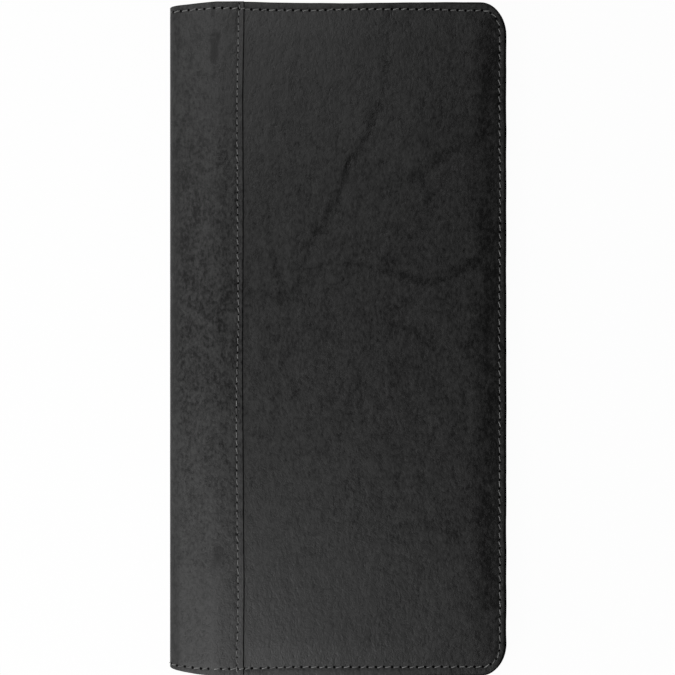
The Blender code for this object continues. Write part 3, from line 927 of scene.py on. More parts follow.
@dataclass(frozen=True)
class EdgeShape:
    """How the cut and sewn edges of the covers depart from straight lines."""

    sizes: CaseSizes
    fold: Fold
    top_level: float = 0.14 * MM
    top_dip: float = 0.48 * MM
    top_slope: float = 0.076
    slope_start: float = 17.0 * MM
    bottom_level: float = 0.38 * MM
    bottom_fall: float = 0.26 * MM
    bottom_draw: float = 2.3 * MM
    draw_length: float = 16.5 * MM
    draw_ramp: float = 26.0 * MM
    corner_stretch: float = 2.6 * MM
    side_out: float = 0.05 * MM
    unevenness: float = 0.06 * MM
    seam_side: float = 2.27 * MM
    seam_wander: float = 0.1 * MM
    corner_cut: float = 0.4 * MM
    seam_top: Steps = Steps(
        2.05,
        ((0.18, 6.0, 7.0), (0.45, 15.0, 17.0), (-0.08, 34.0, 8.0))
        + ((-0.45, 50.0, 12.0), (0.22, 64.0, 28.0), (-0.17, 98.0, 8.0)),
    )
    seam_bottom: Steps = Steps(
        1.55,
        ((0.5, 0.0, 6.0), (0.3, 7.0, 8.0), (0.5, 26.0, 18.0), (0.26, 12.0, 12.0), (-0.62, 88.0, 18.0)),
    )

    def end_drop(self, reach: Values, is_top: Values) -> Values:
        """How far the top or bottom edge lies inside the page's straight end."""
        across, _ = self.fold.place(reach, np.zeros_like(reach))
        dip = ease((across - 20.0 * MM) / (30.0 * MM))
        dip = dip * (1.0 - 0.66 * ease((across - 60.0 * MM) / (36.0 * MM)))
        top = self.top_level + self.top_dip * dip
        top = top + self.top_slope * np.maximum(self.slope_start - across, 0.0)
        drawn = np.maximum(self.sizes.fold_reach - across, 0.0) / self.draw_length
        bottom = self.bottom_level + self.bottom_draw * drawn**1.9
        bottom = bottom - self.bottom_fall * ease((across - 12.0 * MM) / (12.0 * MM))
        return np.where(is_top, top, bottom)

    def shift(self, reach: Values, height: Values, side: Side) -> tuple[Values, Values]:
        """Reaches and heights of points, moved with the edges' unevenness and the long corners."""
        sizes = self.sizes
        away = sizes.height / 2 - np.abs(height)
        near = ease(1.0 - away / self.draw_ramp)
        pull = ease((reach - sizes.width + 30.0 * MM) / (18.0 * MM))
        corner = np.minimum(away / sizes.corner, (self.draw_ramp - away) / (self.draw_ramp - sizes.corner))
        inward = near * self.end_drop(reach, height > 0.0)
        inward = inward + self.corner_stretch * np.clip(corner, 0.0, 1.0) * pull
        edge = np.maximum(sizes.to_edge(reach, height), 0.0)
        uneven = self.unevenness * swell(reach, height, 14.0 * MM, 11 if side is Side.FRONT else 12)
        uneven = uneven * np.exp(-edge / (2.0 * MM))
        across = ease((reach - sizes.width + 12.0 * MM) / (6.0 * MM))
        return reach - (uneven - self.side_out) * across, height - np.sign(height) * (inward + uneven * near)

    def side_share(self, reach: Values, height: Values) -> Values:
        """Share of the free edge at a place on the outline, from 0 at the two ends to 1 up the side."""
        across, up = self.sizes.width - reach, self.sizes.height / 2 - np.abs(height)
        return ease((up - across) / (6.0 * MM) + 0.35)

    def paint_and_shade_share(self, reach: Values, height: Values) -> Values:
        """How broad the black on the face is, from 0, a hair near the spine, to 1 up the free edge. Past the
        paint's own width it is painted shade of the rim, which faces away from the lamps.
        """
        return np.maximum(self.side_share(reach, height), 0.6 * ease((reach - 66.0 * MM) / (36.0 * MM)))

    def seam_inset(self, reach: Values, height: Values) -> Values:
        """How far the seam nearest to a place lies inside the edge that it follows."""
        radius = self.sizes.corner
        up = np.maximum(np.abs(height) - self.sizes.height / 2 + radius, 0.0)
        across = np.maximum(reach - self.sizes.width + radius, 0.01 * MM)
        share = ease(np.arctan2(up, across) / (math.pi / 2))
        side = self.seam_side + self.seam_wander * swell(np.zeros_like(height), height, 70.0 * MM, 19)
        end = np.where(height > 0.0, self.seam_top.at(reach), self.seam_bottom.at(reach))
        return side + (end - side) * share - self.corner_cut * 4.0 * share * (1.0 - share)


@dataclass(frozen=True)
class SeamGroove:
    """Small valley that a tight seam draws into the leather."""

    depth: float = 0.06 * MM
    width: float = 0.75 * MM

    def depth_at(self, distance: Values) -> Values:
        """Depth of the valley at distances from the seam's line."""
        return self.depth * bell(distance, 0.0, self.width)


@dataclass(frozen=True)
class Shop:
    """What every sub-assembly is made with: sizes, pages, edges and finishes."""

    sizes: CaseSizes
    pages: dict[Side, Page]
    edges: EdgeShape
    groove: SeamGroove
    finishes: dict[str, bpy.types.Material]

    @classmethod
    def open(cls) -> "Shop":
        """Read the solids' sizes and build every finish."""
        sizes = CaseSizes.from_solids()
        fold = Fold(sizes)
        pages = {side: Page(side, sizes, fold) for side in Side}
        black = (0.001, 0.001, 0.001)
        strip = Leather("spine_strip_leather", black, (0.028, 0.028, 0.0278), clouds=0.14, patches=0.44)
        strip = replace(strip, mottle=0.58, streaks=0.58, pores=0.34, spots=0.56)
        pocket = Leather("pocket_leather_fine", (0.003, 0.003, 0.003), (0.022, 0.022, 0.022), roughness=0.48)
        finishes = {
            "cover": Leather("cover_leather_crease_shade", black, (0.020, 0.020, 0.0198)),
            "strip": replace(strip, gloss=0.4, crease_dulling=0.15, relief=0.06),
            "pocket": replace(pocket, gloss_share=0.3, relief=0.1),
            "cloth": Cloth(),
            "edge": EdgePaint(),
            "thread": Thread(),
            "hole": NeedleHoleShadow(),
            "card": Card(),
        }
        materials = {key: finish.material() for key, finish in finishes.items()}
        return cls(sizes, pages, EdgeShape(sizes, fold), SeamGroove(), materials)


@dataclass
class Part:
    """Sub-assembly of one cover."""

    shop: Shop
    side: Side

    @property
    def sizes(self) -> CaseSizes:
        """Sizes of the case."""
        return self.shop.sizes

    @property
    def page(self) -> Page:
        """Page of the cover."""
        return self.shop.pages[self.side]

    def moved(self, reach: Values, height: Values) -> tuple[Values, Values]:
        """Places moved with the cover's uneven edges."""
        return self.shop.edges.shift(reach, height, self.side)

    def cut(
        self,
        name: str,
        net: Net,
        places: tuple[Values, Values],
        depths: Sequence[Values],
        finish: str,
        marks: dict[str, Values] | None = None,
        pattern: float = 0.0,
    ) -> bpy.types.Object:
        """Make a closed piece of leather, cloth or card, between an outer and an inner face over one net.

        Args:
            name: Name of the piece.
            net: Its net.
            places: Reaches and heights of the net's points, as the piece lies.
            depths: Depths of its outer and inner face at them.
            finish: Name of its finish.
            marks: Numbers for each point of the net, which its finish reads.
            pattern: Sets the finish's pattern apart from that of other pieces.

        Returns:
            The piece, which rides on nothing yet.
        """
        count = len(net.points)
        points = np.concatenate([self.page.world(*places, depth) for depth in depths])
        faces = net.cells + [[k + count for k in reversed(ring)] for ring in net.cells]
        faces += [[b, a, a + count, b + count] for a, b in net.rim()]
        if self.side is Side.BACK:
            faces = [ring[::-1] for ring in faces]
        lay = [np.tile(values, 2) for values in places] + [np.concatenate(depths) + pattern]
        stored = {"lay": np.stack(lay, axis=1)}
        stored.update((key, np.tile(values, 2)) for key, values in (marks or {}).items())
        return make_mesh(name, points, faces, stored, self.shop.finishes[finish], 55.0)

    def attach(self, piece: bpy.types.Object, slot: str, *nodes: str, bends: bool = False) -> None:
        """Let a piece ride on its cover, or leave a piece that runs over the fold in the shared frame.

        Args:
            piece: The piece.
            slot: Not used.
            nodes: Solids that it stands for.
            bends: Whether it runs over the fold.
        """
        body = self.side.value
        if bends:
            start, end = self.page.bend_ends()
            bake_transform(piece)
        else:
            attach(piece, body)
        if nodes:
            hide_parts(*nodes)
        how = "bent to the spine from" if bends else "on"
        LOG.info("%s: %d faces, %s %s", piece.name, len(piece.data.polygons), how, body)


@dataclass
class SpineStrip(Part):
    """Half of the strip, from the middle of the spine round the fold to the edge lapped over a panel."""

    step: float = 0.95 * MM
    pressed_out: float = 0.44 * MM
    seam_inset: float = 1.92 * MM
    roll: float = 0.16 * MM
    end_roll: float = 0.3 * MM
    ink: float = 0.06 * MM
    # Lighter tone beside the lapped edge: burnish, and a painted highlight of its rounded rim.
    burnish_and_highlight: float = 0.2

    def edge_reach(self, height: Values) -> Values:
        """Reach of the lapped edge, pressed out a little past its solid, at some heights."""
        return self.sizes.strip_reach + self.pressed_out + LAPPED_EDGE[self.side].wander(height)

    def seam_reach(self, height: Values) -> Values:
        """Reach of the spine seam at some heights."""
        middle = self.sizes.strip_reach + self.pressed_out - self.seam_inset
        return middle + SPINE_SEAM[self.side].wander(height)

    def outer_depth(self, reach: Values, height: Values) -> Values:
        """Depth of the strip's outer face under its own smooth line, without its rolled edges."""
        shop = self.shop
        past = self.edge_reach(height) - reach
        ends = shop.sizes.height / 2 - np.abs(height)
        flat = ease((reach - 12.0 * MM) / (8.0 * MM))
        grooves = shop.groove.depth_at(reach - self.seam_reach(height)) * flat
        grooves = grooves + shop.groove.depth_at(ends - shop.edges.seam_inset(reach, height))
        swells = swell(reach, height, 24.0 * MM, 5) * 0.018 * MM
        swells = swells + swell(reach, height, 8.0 * MM, 6) * 0.008 * MM
        swells = swells * ease(ends / (5.0 * MM)) * ease(past / (3.0 * MM))
        swells = swells * ease((reach - self.page.fold.middle) / (3.0 * MM))
        return np.maximum(grooves + swells + 0.02 * MM, 0.0)

    def build(self) -> None:
        """Make this half of the strip."""
        sizes, fold = self.sizes, self.page.fold
        seam = sizes.strip_reach - self.seam_inset
        close = [seam + k * 0.3 * MM for k in range(-6, 7)]
        net = NetPlan(self.step).build(sizes, fold.middle, end=sizes.strip_reach, close=close)
        reach, height = np.array(net.points).T
        ends = np.maximum(sizes.height / 2 - np.abs(height), 0.0)
        lap = np.maximum(sizes.strip_reach - reach, 0.0)
        edge = np.minimum(ends, lap)
        is_front = self.side is Side.FRONT
        # Painted shade along the strip's creases, which are also pressed in a little.
        shaded_creases = shaded_crease_marks(STRIP_SHADED_CREASES if is_front else (), reach, height)
        pared = ease((reach - sizes.fold_reach) / (sizes.strip_reach - sizes.fold_reach))
        reach = reach + (self.edge_reach(height) - sizes.strip_reach) * pared
        rolled = np.maximum(rounded_edge(lap, self.roll), rounded_edge(ends, self.end_roll))
        outer = self.outer_depth(reach, height) + rolled + shaded_creases * 0.05 * MM
        inner = sizes.strip_thickness + (sizes.strip_edge_thickness - sizes.strip_thickness) * pared
        inner = np.maximum(inner - rounded_edge(edge, 0.1 * MM), outer + 0.1 * MM)
        marks = {
            "shaded_crease": shaded_creases,
            "ink": painted(edge, self.ink),
            # Burnish and painted highlight beside the lapped edge.
            "burnish_and_highlight": self.burnish_and_highlight * bell(lap, 0.7 * MM, 0.35 * MM),
            "worn": 1.0 - ease((reach - fold.bend_start + 0.5 * MM) / (2.0 * MM)),
        }
        side = self.side.value
        name, pattern = f"spine_strip_{side}_half", 0.05 if is_front else 0.35
        piece = self.cut(name, net, self.moved(reach, height), (outer, inner), "strip", marks, pattern)
        self.attach(piece, "cover_leather", f"strip_{side}", "strip_spine", bends=True)


@dataclass
class CoverPanel(Part):
    """Leather panel of one cover, glued over its board and sewn round its open sides."""

    strip: SpineStrip
    step: float = 0.95 * MM
    start: float = 18.6 * MM
    lap_rise: float = 0.15 * MM
    lap_pull: float = 8.0 * MM
    board_inset: float = 2.5 * MM
    board_edge: float = 10.0 * MM
    board_dip: float = 0.3 * MM
    back_step: float = 0.4 * MM
    rim: float = 0.06 * MM
    side_fall: float = 0.22 * MM
    roll: float = 0.4 * MM
    # The black is broader up the free edge than at the ends: edge paint, and painted shade of the rim, which
    # faces away from the lamps.
    side_ink_and_shade: float = 0.52 * MM
    end_ink: float = 0.1 * MM

    def outer_depth(self, reach: Values, height: Values) -> Values:
        """Depth of the panel's outer face, without its veins and rolled edge."""
        shop = self.shop
        edge = shop.sizes.to_edge(reach, height)
        base = shop.sizes.front_step if self.side is Side.FRONT else self.back_step
        inset = shop.edges.seam_inset(reach, height)
        dip = self.board_dip * (1.0 - ease((edge - self.board_inset) / self.board_edge))
        outside = np.clip((inset - edge) / inset, 0.0, 1.0)
        side_share = shop.edges.side_share(reach, height)
        rim = self.rim * ease(outside * 1.8) * (1.0 - side_share) - self.side_fall * side_share * outside**2
        swells = swell(reach, height, 42.0 * MM, 3) * 0.05 * MM
        swells = swells + swell(reach, height, 11.0 * MM, 4) * 0.01 * MM
        laid = base + dip - rim + swells * ease(edge / (6.0 * MM))
        lap = ease((reach - self.strip.edge_reach(height)) / self.lap_rise)
        under = shop.sizes.strip_thickness + 0.25 * MM
        return under + (laid - under) * lap + shop.groove.depth_at(edge - inset) * (1.0 + 0.8 * side_share)

    def ink_and_shade_width(self, reach: Values, height: Values) -> Values:
        """Width of the black on the face: a hair at the two ends, broad up the free edge, where it is edge
        paint and painted shade of the rim.
        """
        width = self.end_ink + (self.side_ink_and_shade - self.end_ink) * self.shop.edges.paint_and_shade_share(reach, height)
        return width * (1.0 + 0.22 * swell(reach, height, 3.0 * MM, 23))

    def build(self) -> None:
        """Make the panel."""
        sizes, side = self.sizes, self.side.value
        lap = sizes.strip_reach
        close = [lap + k * 0.09 * MM for k in range(-2, 7)]
        net = NetPlan(self.step).build(sizes, self.start, close=close)
        reach, height = np.array(net.points).T
        edge = np.maximum(sizes.to_edge(reach, height), 0.0)
        reach = reach + (self.strip.edge_reach(height) - lap) * bell(reach, lap, self.lap_pull)
        is_front = self.side is Side.FRONT
        # Painted shade along the panel's creases, which are also pressed in a little.
        shaded_creases = shaded_crease_marks(FRONT_SHADED_CREASES if is_front else BACK_SHADED_CREASES, reach, height)
        outer = self.outer_depth(reach, height) + rounded_edge(edge, self.roll) + shaded_creases * 0.05 * MM
        inner = np.full_like(outer, sizes.panel_inner + 0.2 * MM) - rounded_edge(edge, 0.15 * MM)
        marks = {
            "shaded_crease": shaded_creases,
            "ink": painted(edge, self.ink_and_shade_width(reach, height)),
            # Lighter band between the seam and the edge: burnish, and a painted highlight of the rim.
            "burnish_and_highlight": 0.3 * bell(edge, 1.3 * MM, 0.6 * MM),
        }
        places, pattern = self.moved(reach, height), 0.0 if is_front else 0.3
        piece = self.cut(f"{side}_cover_panel", net, places, (outer, inner), "cover", marks, pattern)
        self.attach(piece, "cover_leather", f"{side}_panel")


@dataclass
class Board(Part):
    """Stiffening card of one cover, cut to the uneven outline of its panel."""

    step: float = 4.0 * MM
    rings: tuple[float, ...] = (0.0, 0.4, 1.5, 4.0)
    inset: float = 0.12 * MM

    def build(self) -> None:
        """Make the board."""
        sizes, node = self.sizes, f"{self.side.value}_board"
        low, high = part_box(node)
        depths = (low.z, high.z)
        if self.side is Side.FRONT:
            depths = (sizes.thickness - high.z, sizes.thickness - low.z)
        plan = NetPlan(self.step, self.rings)
        net = plan.build(sizes, low.x + sizes.width / 2, self.inset, start_edge=True)
        reach, height = np.array(net.points).T
        faces = [np.full_like(reach, depth) for depth in depths]
        piece = self.cut(f"{self.side.value}_stiffener", net, self.moved(reach, height), faces, "card")
        self.attach(piece, "stiffener_board", node)


@dataclass
class Lining(Part):
    """Half of the lining cloth: one page and half of the spine."""

    step: float = 1.6 * MM
    inset: float = 0.15 * MM
    dip_start: float = 12.0 * MM
    dip_end: float = 17.5 * MM
    fold_depth: float = 1.15 * MM
    thickness: float = 0.4 * MM
    ink: float = 0.3 * MM
    pattern: float = 0.5

    def skin(self, reach: Values, height: Values) -> Values:
        """Depth of the cloth's inner face."""
        flat = ease((reach - self.dip_start) / (self.dip_end - self.dip_start))
        depth = self.fold_depth + (self.sizes.lining_outer - self.fold_depth) * flat
        return depth + self.thickness + swell(reach, height, 19.0 * MM, 21) * 0.04 * MM

    def build(self) -> None:
        """Make this half of the lining."""
        sizes, fold, side = self.sizes, self.page.fold, self.side.value
        net = NetPlan(self.step).build(sizes, fold.middle, inset=self.inset)
        reach, height = np.array(net.points).T
        edge = np.maximum(sizes.to_edge(reach, height, self.inset), 0.0)
        inner = self.skin(reach, height)
        faces, marks = (inner - self.thickness, inner), {"ink": painted(edge, self.ink)}
        places = self.moved(reach, height)
        piece = self.cut(f"lining_{side}_half", net, places, faces, "cloth", marks, self.pattern)
        self.attach(piece, "lining_cloth", f"lining_{side}", "lining_spine", bends=True)
        flat = (sizes.width - fold.middle, sizes.height)


@dataclass
class EdgeCoat(Part):
    """Black paint on the cut edges of one cover and of its half of the fold, over all their layers."""

    panel: CoverPanel
    lining: Lining
    step: float = 1.1 * MM
    fold_step: float = 0.45 * MM
    lap_step: float = 0.06 * MM
    # Broad lip up the free edge: edge paint, and painted shade of the rim there.
    side_lip_and_shade: float = 0.5 * MM
    end_lip: float = 0.08 * MM
    foot_lip: float = 0.3 * MM
    proud: float = 0.07 * MM
    roll: float = 0.25 * MM
    inner: float = 0.95 * MM
    bridge: float = 0.8 * MM
    overlap: float = 0.4 * MM
    layers: int = 3

    def outer(self, reach: Values, height: Values, lip: Values) -> Values:
        """Depth at which the paint starts on the outer face."""
        panel, strip = self.panel, self.panel.strip
        on_strip = strip.outer_depth(reach, height) + rounded_edge(lip, strip.end_roll)
        on_panel = np.minimum(panel.outer_depth(reach, height), self.bridge) + rounded_edge(lip, panel.roll)
        return np.where(reach < strip.edge_reach(height), on_strip, on_panel) - 0.01 * MM

    def section(self, reach: Values, height: Values) -> list[tuple[Numbers, Values]]:
        """Points round the paint's section: how far out each lies, and its depth."""
        lip = self.end_lip + (self.side_lip_and_shade - self.end_lip) * self.shop.edges.paint_and_shade_share(reach, height)
        top, bottom = self.outer(reach, height, lip), self.lining.skin(reach, height) + 0.03 * MM
        turns = spread(0.0, math.pi / 2, math.pi / 8)
        turns = [(math.sin(turn), 1.0 - math.cos(turn)) for turn in turns]
        points = [((lip + self.proud) * out - lip, top + self.roll * down) for out, down in turns]
        for share in spread(0.1, 0.9, 0.1):
            bulge = 0.55 + 0.45 * abs(math.sin(math.pi * self.layers * share))
            points.append((self.proud * bulge, top + self.roll + (bottom - top - 2.0 * self.roll) * share))
        foot = self.foot_lip
        points += [((foot + self.proud) * out - foot, bottom - self.roll * down) for out, down in turns[::-1]]
        return points + [(-self.inner, bottom - self.roll), (-self.inner, top + self.roll)]

    def coat(self, name: str, path: Values) -> bpy.types.Object:
        """Make a closed run of paint.

        Args:
            name: Name of the piece.
            path: Reach, height and outward direction of points along the outline.

        Returns:
            The piece, which rides on nothing yet.
        """
        reach, height, outx, outy = path.T
        moved = self.moved(reach, height)
        points, lay = [], []
        section = self.section(reach, height)
        for ring, (out, depth) in enumerate(section):
            out = out + swell(reach, height, 5.0 * MM, 17 + ring) * 0.015 * MM
            across, up = moved[0] + outx * out, moved[1] + outy * out
            points.append(self.page.world(across, up, depth))
            lay.append(np.stack([across, up, depth], axis=1))
        count, rings = len(path), len(section)
        faces = []
        for k in range(rings):
            one, other = k * count, (k + 1) % rings * count
            faces += [[one + i, one + i + 1, other + i + 1, other + i] for i in range(count - 1)]
        faces.append([k * count for k in range(rings)])
        faces.append([k * count + count - 1 for k in reversed(range(rings))])
        if self.side is Side.FRONT:
            faces = [ring[::-1] for ring in faces]
        marks = {"lay": np.concatenate(lay)}
        return make_mesh(name, np.concatenate(points), faces, marks, self.shop.finishes["edge"], 70.0)

    def build(self) -> None:
        """Paint the page's outline and both ends of the fold."""
        sizes, side, half = self.sizes, self.side.value, self.sizes.height / 2
        laps = [float(self.panel.strip.edge_reach(np.array(end))) for end in (-half, half)]
        close = [lap + k * self.lap_step for lap in laps for k in range(-4, 8)]
        outline = sizes.outline(sizes.page_start, self.step, close)
        self.attach(self.coat(f"{side}_edge_coat", outline), "cover_leather")
        for upward, where in ((-1.0, "bottom"), (1.0, "top")):
            reach = np.array(spread(self.page.fold.middle, sizes.page_start + self.overlap, self.fold_step))
            reach = reach if upward < 0.0 else reach[::-1]
            ends = np.full_like(reach, upward)
            path = np.stack([reach, ends * half, np.zeros_like(reach), ends], axis=1)
            self.attach(self.coat(f"{side}_fold_{where}_coat", path), "cover_leather", bends=True)


@dataclass
class FlatPocket(Part):
    """Flat pocket or sleeve sewn to a page along its open sides."""

    node: str
    start: float
    seat: float
    room: float
    thickness: float
    mouth: float | None = None
    notch: bool = False
    pattern: float = 0.6
    is_sewn_at_gutter: bool = True
    step: float = 1.6 * MM
    notch_half_width: float = 16.0 * MM
    notch_depth: float = 9.0 * MM
    seam_width: float = 3.0 * MM
    run: float = 6.0 * MM
    mouth_lift: float = 0.18 * MM
    mouth_line: float = 0.09 * MM

    def notch_drop(self, reach: Values) -> Values:
        """Drop of the mouth in its thumb notch."""
        if not self.notch:
            return np.zeros(np.shape(reach))
        centre = (self.start + self.sizes.width - self.sizes.page_inset) / 2
        away = np.minimum(np.abs(reach - centre) / self.notch_half_width, 1.0)
        return self.notch_depth * (1.0 + np.cos(math.pi * away)) / 2

    def top(self, reach: Values) -> Values:
        """Height of the mouth, or of the page's end."""
        return (self.sizes.height / 2 if self.mouth is None else self.mouth) - self.notch_drop(reach)

    def past_mouth(self, reach: Values, height: Values) -> Values:
        """How far places lie under the mouth, or far where there is none."""
        if self.mouth is None:
            return np.full(np.shape(reach), 1.0)
        return np.maximum(self.top(reach) - height, 0.0)

    def pressed_line(self, past: Values) -> Values:
        """Height of the line pressed into the leather beside the mouth."""
        return self.mouth_line * bell(past, 1.6 * MM, 0.35 * MM)

    def free_share(self, reach: Values, height: Values) -> Values:
        """How far the leather is free of its seams, from 0 in them to 1."""
        half, inset = self.sizes.height / 2, self.sizes.page_inset
        away = np.minimum(self.sizes.width - inset - reach, height + half - inset)
        if self.mouth is None:
            away = np.minimum(away, half - inset - height)
        if self.is_sewn_at_gutter:
            away = np.minimum(away, reach - self.start + 0.4 * MM)
        return ease((away - self.seam_width) / self.run)

    def skin(self, reach: Values, height: Values) -> Values:
        """Depth of the pocket's inner face."""
        free = self.free_share(reach, height)
        past = self.past_mouth(reach, height)
        lift = self.mouth_lift * np.exp(-past / (5.0 * MM)) * free - self.pressed_line(past)
        loose = swell(reach, height, 23.0 * MM, round(self.pattern * 100)) * 0.07 * MM * free
        return self.seat + self.room * free + self.thickness + lift + loose

    def covers(self, reach: Values, height: Values) -> Values:
        """Where the pocket lies."""
        return (reach >= self.start) & (height <= self.top(reach))

    def build(self) -> None:
        """Make the pocket."""
        sizes = self.sizes
        net = NetPlan(self.step).build(sizes, self.start, sizes.page_inset, self.mouth, start_edge=True)
        reach, height = np.array(net.points).T
        edge = np.minimum(sizes.to_edge(reach, height, sizes.page_inset), reach - self.start)
        if self.mouth is not None:
            edge = np.minimum(edge, self.mouth - height)
            ramp = ease((height - self.mouth + 3.0 * self.notch_depth) / (3.0 * self.notch_depth))
            height = height - self.notch_drop(reach) * ramp
        edge = np.maximum(edge, 0.0)
        inner = self.skin(reach, height)
        rolled = rounded_edge(edge, self.thickness * 0.42)
        faces = (inner - self.thickness + rolled, inner - rolled)
        # Lighter band inside the inked edge: burnish, and a painted highlight of the rounded edge.
        marks = {"ink": painted(edge, 0.3 * MM, 1.4), "burnish_and_highlight": 0.45 * bell(edge, 1.0 * MM, 0.5 * MM)}
        places = self.moved(reach, height)
        piece = self.cut(f"{self.node}_leather", net, places, faces, "pocket", marks, self.pattern)
        self.attach(piece, "pocket_leather", self.node)


@dataclass
class PassportPocket(FlatPocket):
    """Roomy pocket, shaped to stand off the page between its three seams."""

    plateau: float = 8.8 * MM
    wall: float = 3.4 * MM

    def skin(self, reach: Values, height: Values) -> Values:
        """Depth of the pocket's inner face."""
        sizes, sewn = self.sizes, self.seam_width
        gutter = ease((reach - self.start - sewn + 0.6 * MM) / self.wall)
        side = ease((sizes.width - sizes.page_inset - sewn - reach) / self.wall)
        foot = ease((height + sizes.height / 2 - sizes.page_inset - sewn) / self.wall)
        raised = gutter * side * foot
        past = self.past_mouth(reach, height)
        slack = (swell(reach, height, 27.0 * MM, 77) - 1.0) * 0.14 * MM
        sag = 0.5 * MM * (1.0 - ease(past / (30.0 * MM)))
        depth = self.seat + (self.plateau - self.seat + slack - sag) * raised
        return depth + self.thickness - self.pressed_line(past)


@dataclass
class CardSlots(Part):
    """Stepped card slots sewn to the front page, each of a band on a narrower stem."""

    page_sleeve: FlatPocket
    count: int = 4
    top_mouth: float = 104.0 * MM
    pitch: float = 14.0 * MM
    depth: float = 50.0 * MM
    room: float = 0.6 * MM
    thickness: float = 0.5 * MM
    start: float = 19.5 * MM
    band: float = 24.0 * MM
    run: float = 8.0 * MM
    covered_run: float = 16.0 * MM
    mouth_lift: float = 0.3 * MM
    mouth_line: float = 0.14 * MM
    side_run: float = 4.4 * MM
    gutter_seam: float = 2.2 * MM
    edge_seam: float = 3.0 * MM
    step: float = 1.3 * MM
    gap: float = 0.3 * MM

    def mouth(self, slot: int) -> float:
        """Height of a slot's mouth."""
        return self.top_mouth - self.pitch * slot

    def last(self) -> float:
        """Reach of the slots' free edge."""
        return self.sizes.width - self.sizes.page_inset

    def open_share(self, reach: Values) -> Values:
        """Share of a card's room that is open, from 0 in the side seams to 1."""
        gutter = ease((reach - self.start - self.gutter_seam) / self.side_run)
        return gutter * ease((self.last() - self.edge_seam - reach) / self.side_run)

    def presence(self, slot: int, reach: Values, height: Values) -> Values:
        """How far a slot lifts what lies over it."""
        run = self.covered_run
        band = ease((height - self.mouth(slot) + self.band + run) / run)
        stem = ease((height - self.mouth(slot) + self.depth + run) / run)
        return band + (stem - band) * self.open_share(reach)

    def skin(self, slot: int, reach: Values, height: Values) -> Values:
        """Depth of the inner face of a slot."""
        share, mouth = self.open_share(reach), self.mouth(slot)
        spare = (self.room - self.gap) * share
        own = ease((height - mouth + self.depth) / self.run)
        below = sum(self.presence(lower, reach, height) for lower in range(slot))
        seat = self.page_sleeve.skin(reach, height) + below * (self.thickness + self.gap * 0.4 + spare)
        past = np.maximum(mouth - height, 0.0)
        lift = self.mouth_lift * np.exp(-past / (4.0 * MM)) * share
        line = self.mouth_line * bell(past, 1.5 * MM, 0.35 * MM)
        return seat + 0.06 * MM + spare * own + self.thickness + lift - line

    def covers(self, slot: int, reach: Values, height: Values) -> Values:
        """Where a slot's band or, for the front slot, its whole leather lies."""
        foot = self.depth if slot == self.count - 1 else self.band
        mouth = self.mouth(slot)
        return (reach >= self.start) & (height <= mouth) & (height >= mouth - foot)

    def layers(self) -> list[tuple[Surface, Surface]]:
        """Where each slot lies, and the depth of its inner face."""
        return [
            (lambda r, h, s=slot: self.covers(s, r, h), lambda r, h, s=slot: self.skin(s, r, h))
            for slot in range(self.count)
        ]

    def build(self) -> None:
        """Make the slots."""
        for slot in range(self.count):
            self.build_slot(slot)

    def build_slot(self, slot: int) -> None:
        """Make one slot, whose foot is narrower than its band where a lower slot covers it."""
        end, mouth = self.last(), self.mouth(slot)
        floor = mouth - self.depth
        plan = NetPlan(self.step)
        whole = plan.build(self.sizes, self.start, mouth=mouth, floor=floor, end=end, start_edge=True)
        stem_start = self.start + self.gutter_seam + self.side_run
        stem_end = end - self.edge_seam - self.side_run
        net = Net()
        for ring in whole.cells:
            corners = [whole.points[k] for k in ring]
            across, up = (sum(places) / len(corners) for places in zip(*corners))
            is_beside = (across < stem_start or across > stem_end) and up < mouth - self.band
            if slot == self.count - 1 or not is_beside:
                net.add_cell(corners)
        reach, height = np.array(net.points).T
        sides = (end - reach, mouth - height, reach - self.start, height - floor)
        edge = np.maximum(np.minimum.reduce(sides), 0.0)
        inner = self.skin(slot, reach, height)
        rolled = rounded_edge(edge, self.thickness * 0.4)
        faces = (inner - self.thickness + rolled, inner - rolled)
        marks = {
            "ink": painted(edge, 0.28 * MM, 1.4),
            # Lighter band under the mouth: burnish, and a painted highlight of the mouth's edge.
            "burnish_and_highlight": 0.45 * bell(mouth - height, 0.9 * MM, 0.45 * MM),
        }
        node = f"card_slot_{slot + 1}"
        piece = self.cut(f"{node}_leather", net, (reach, height), faces, "pocket", marks, 1.0 + 0.1 * slot)
        self.attach(piece, "pocket_leather", node)


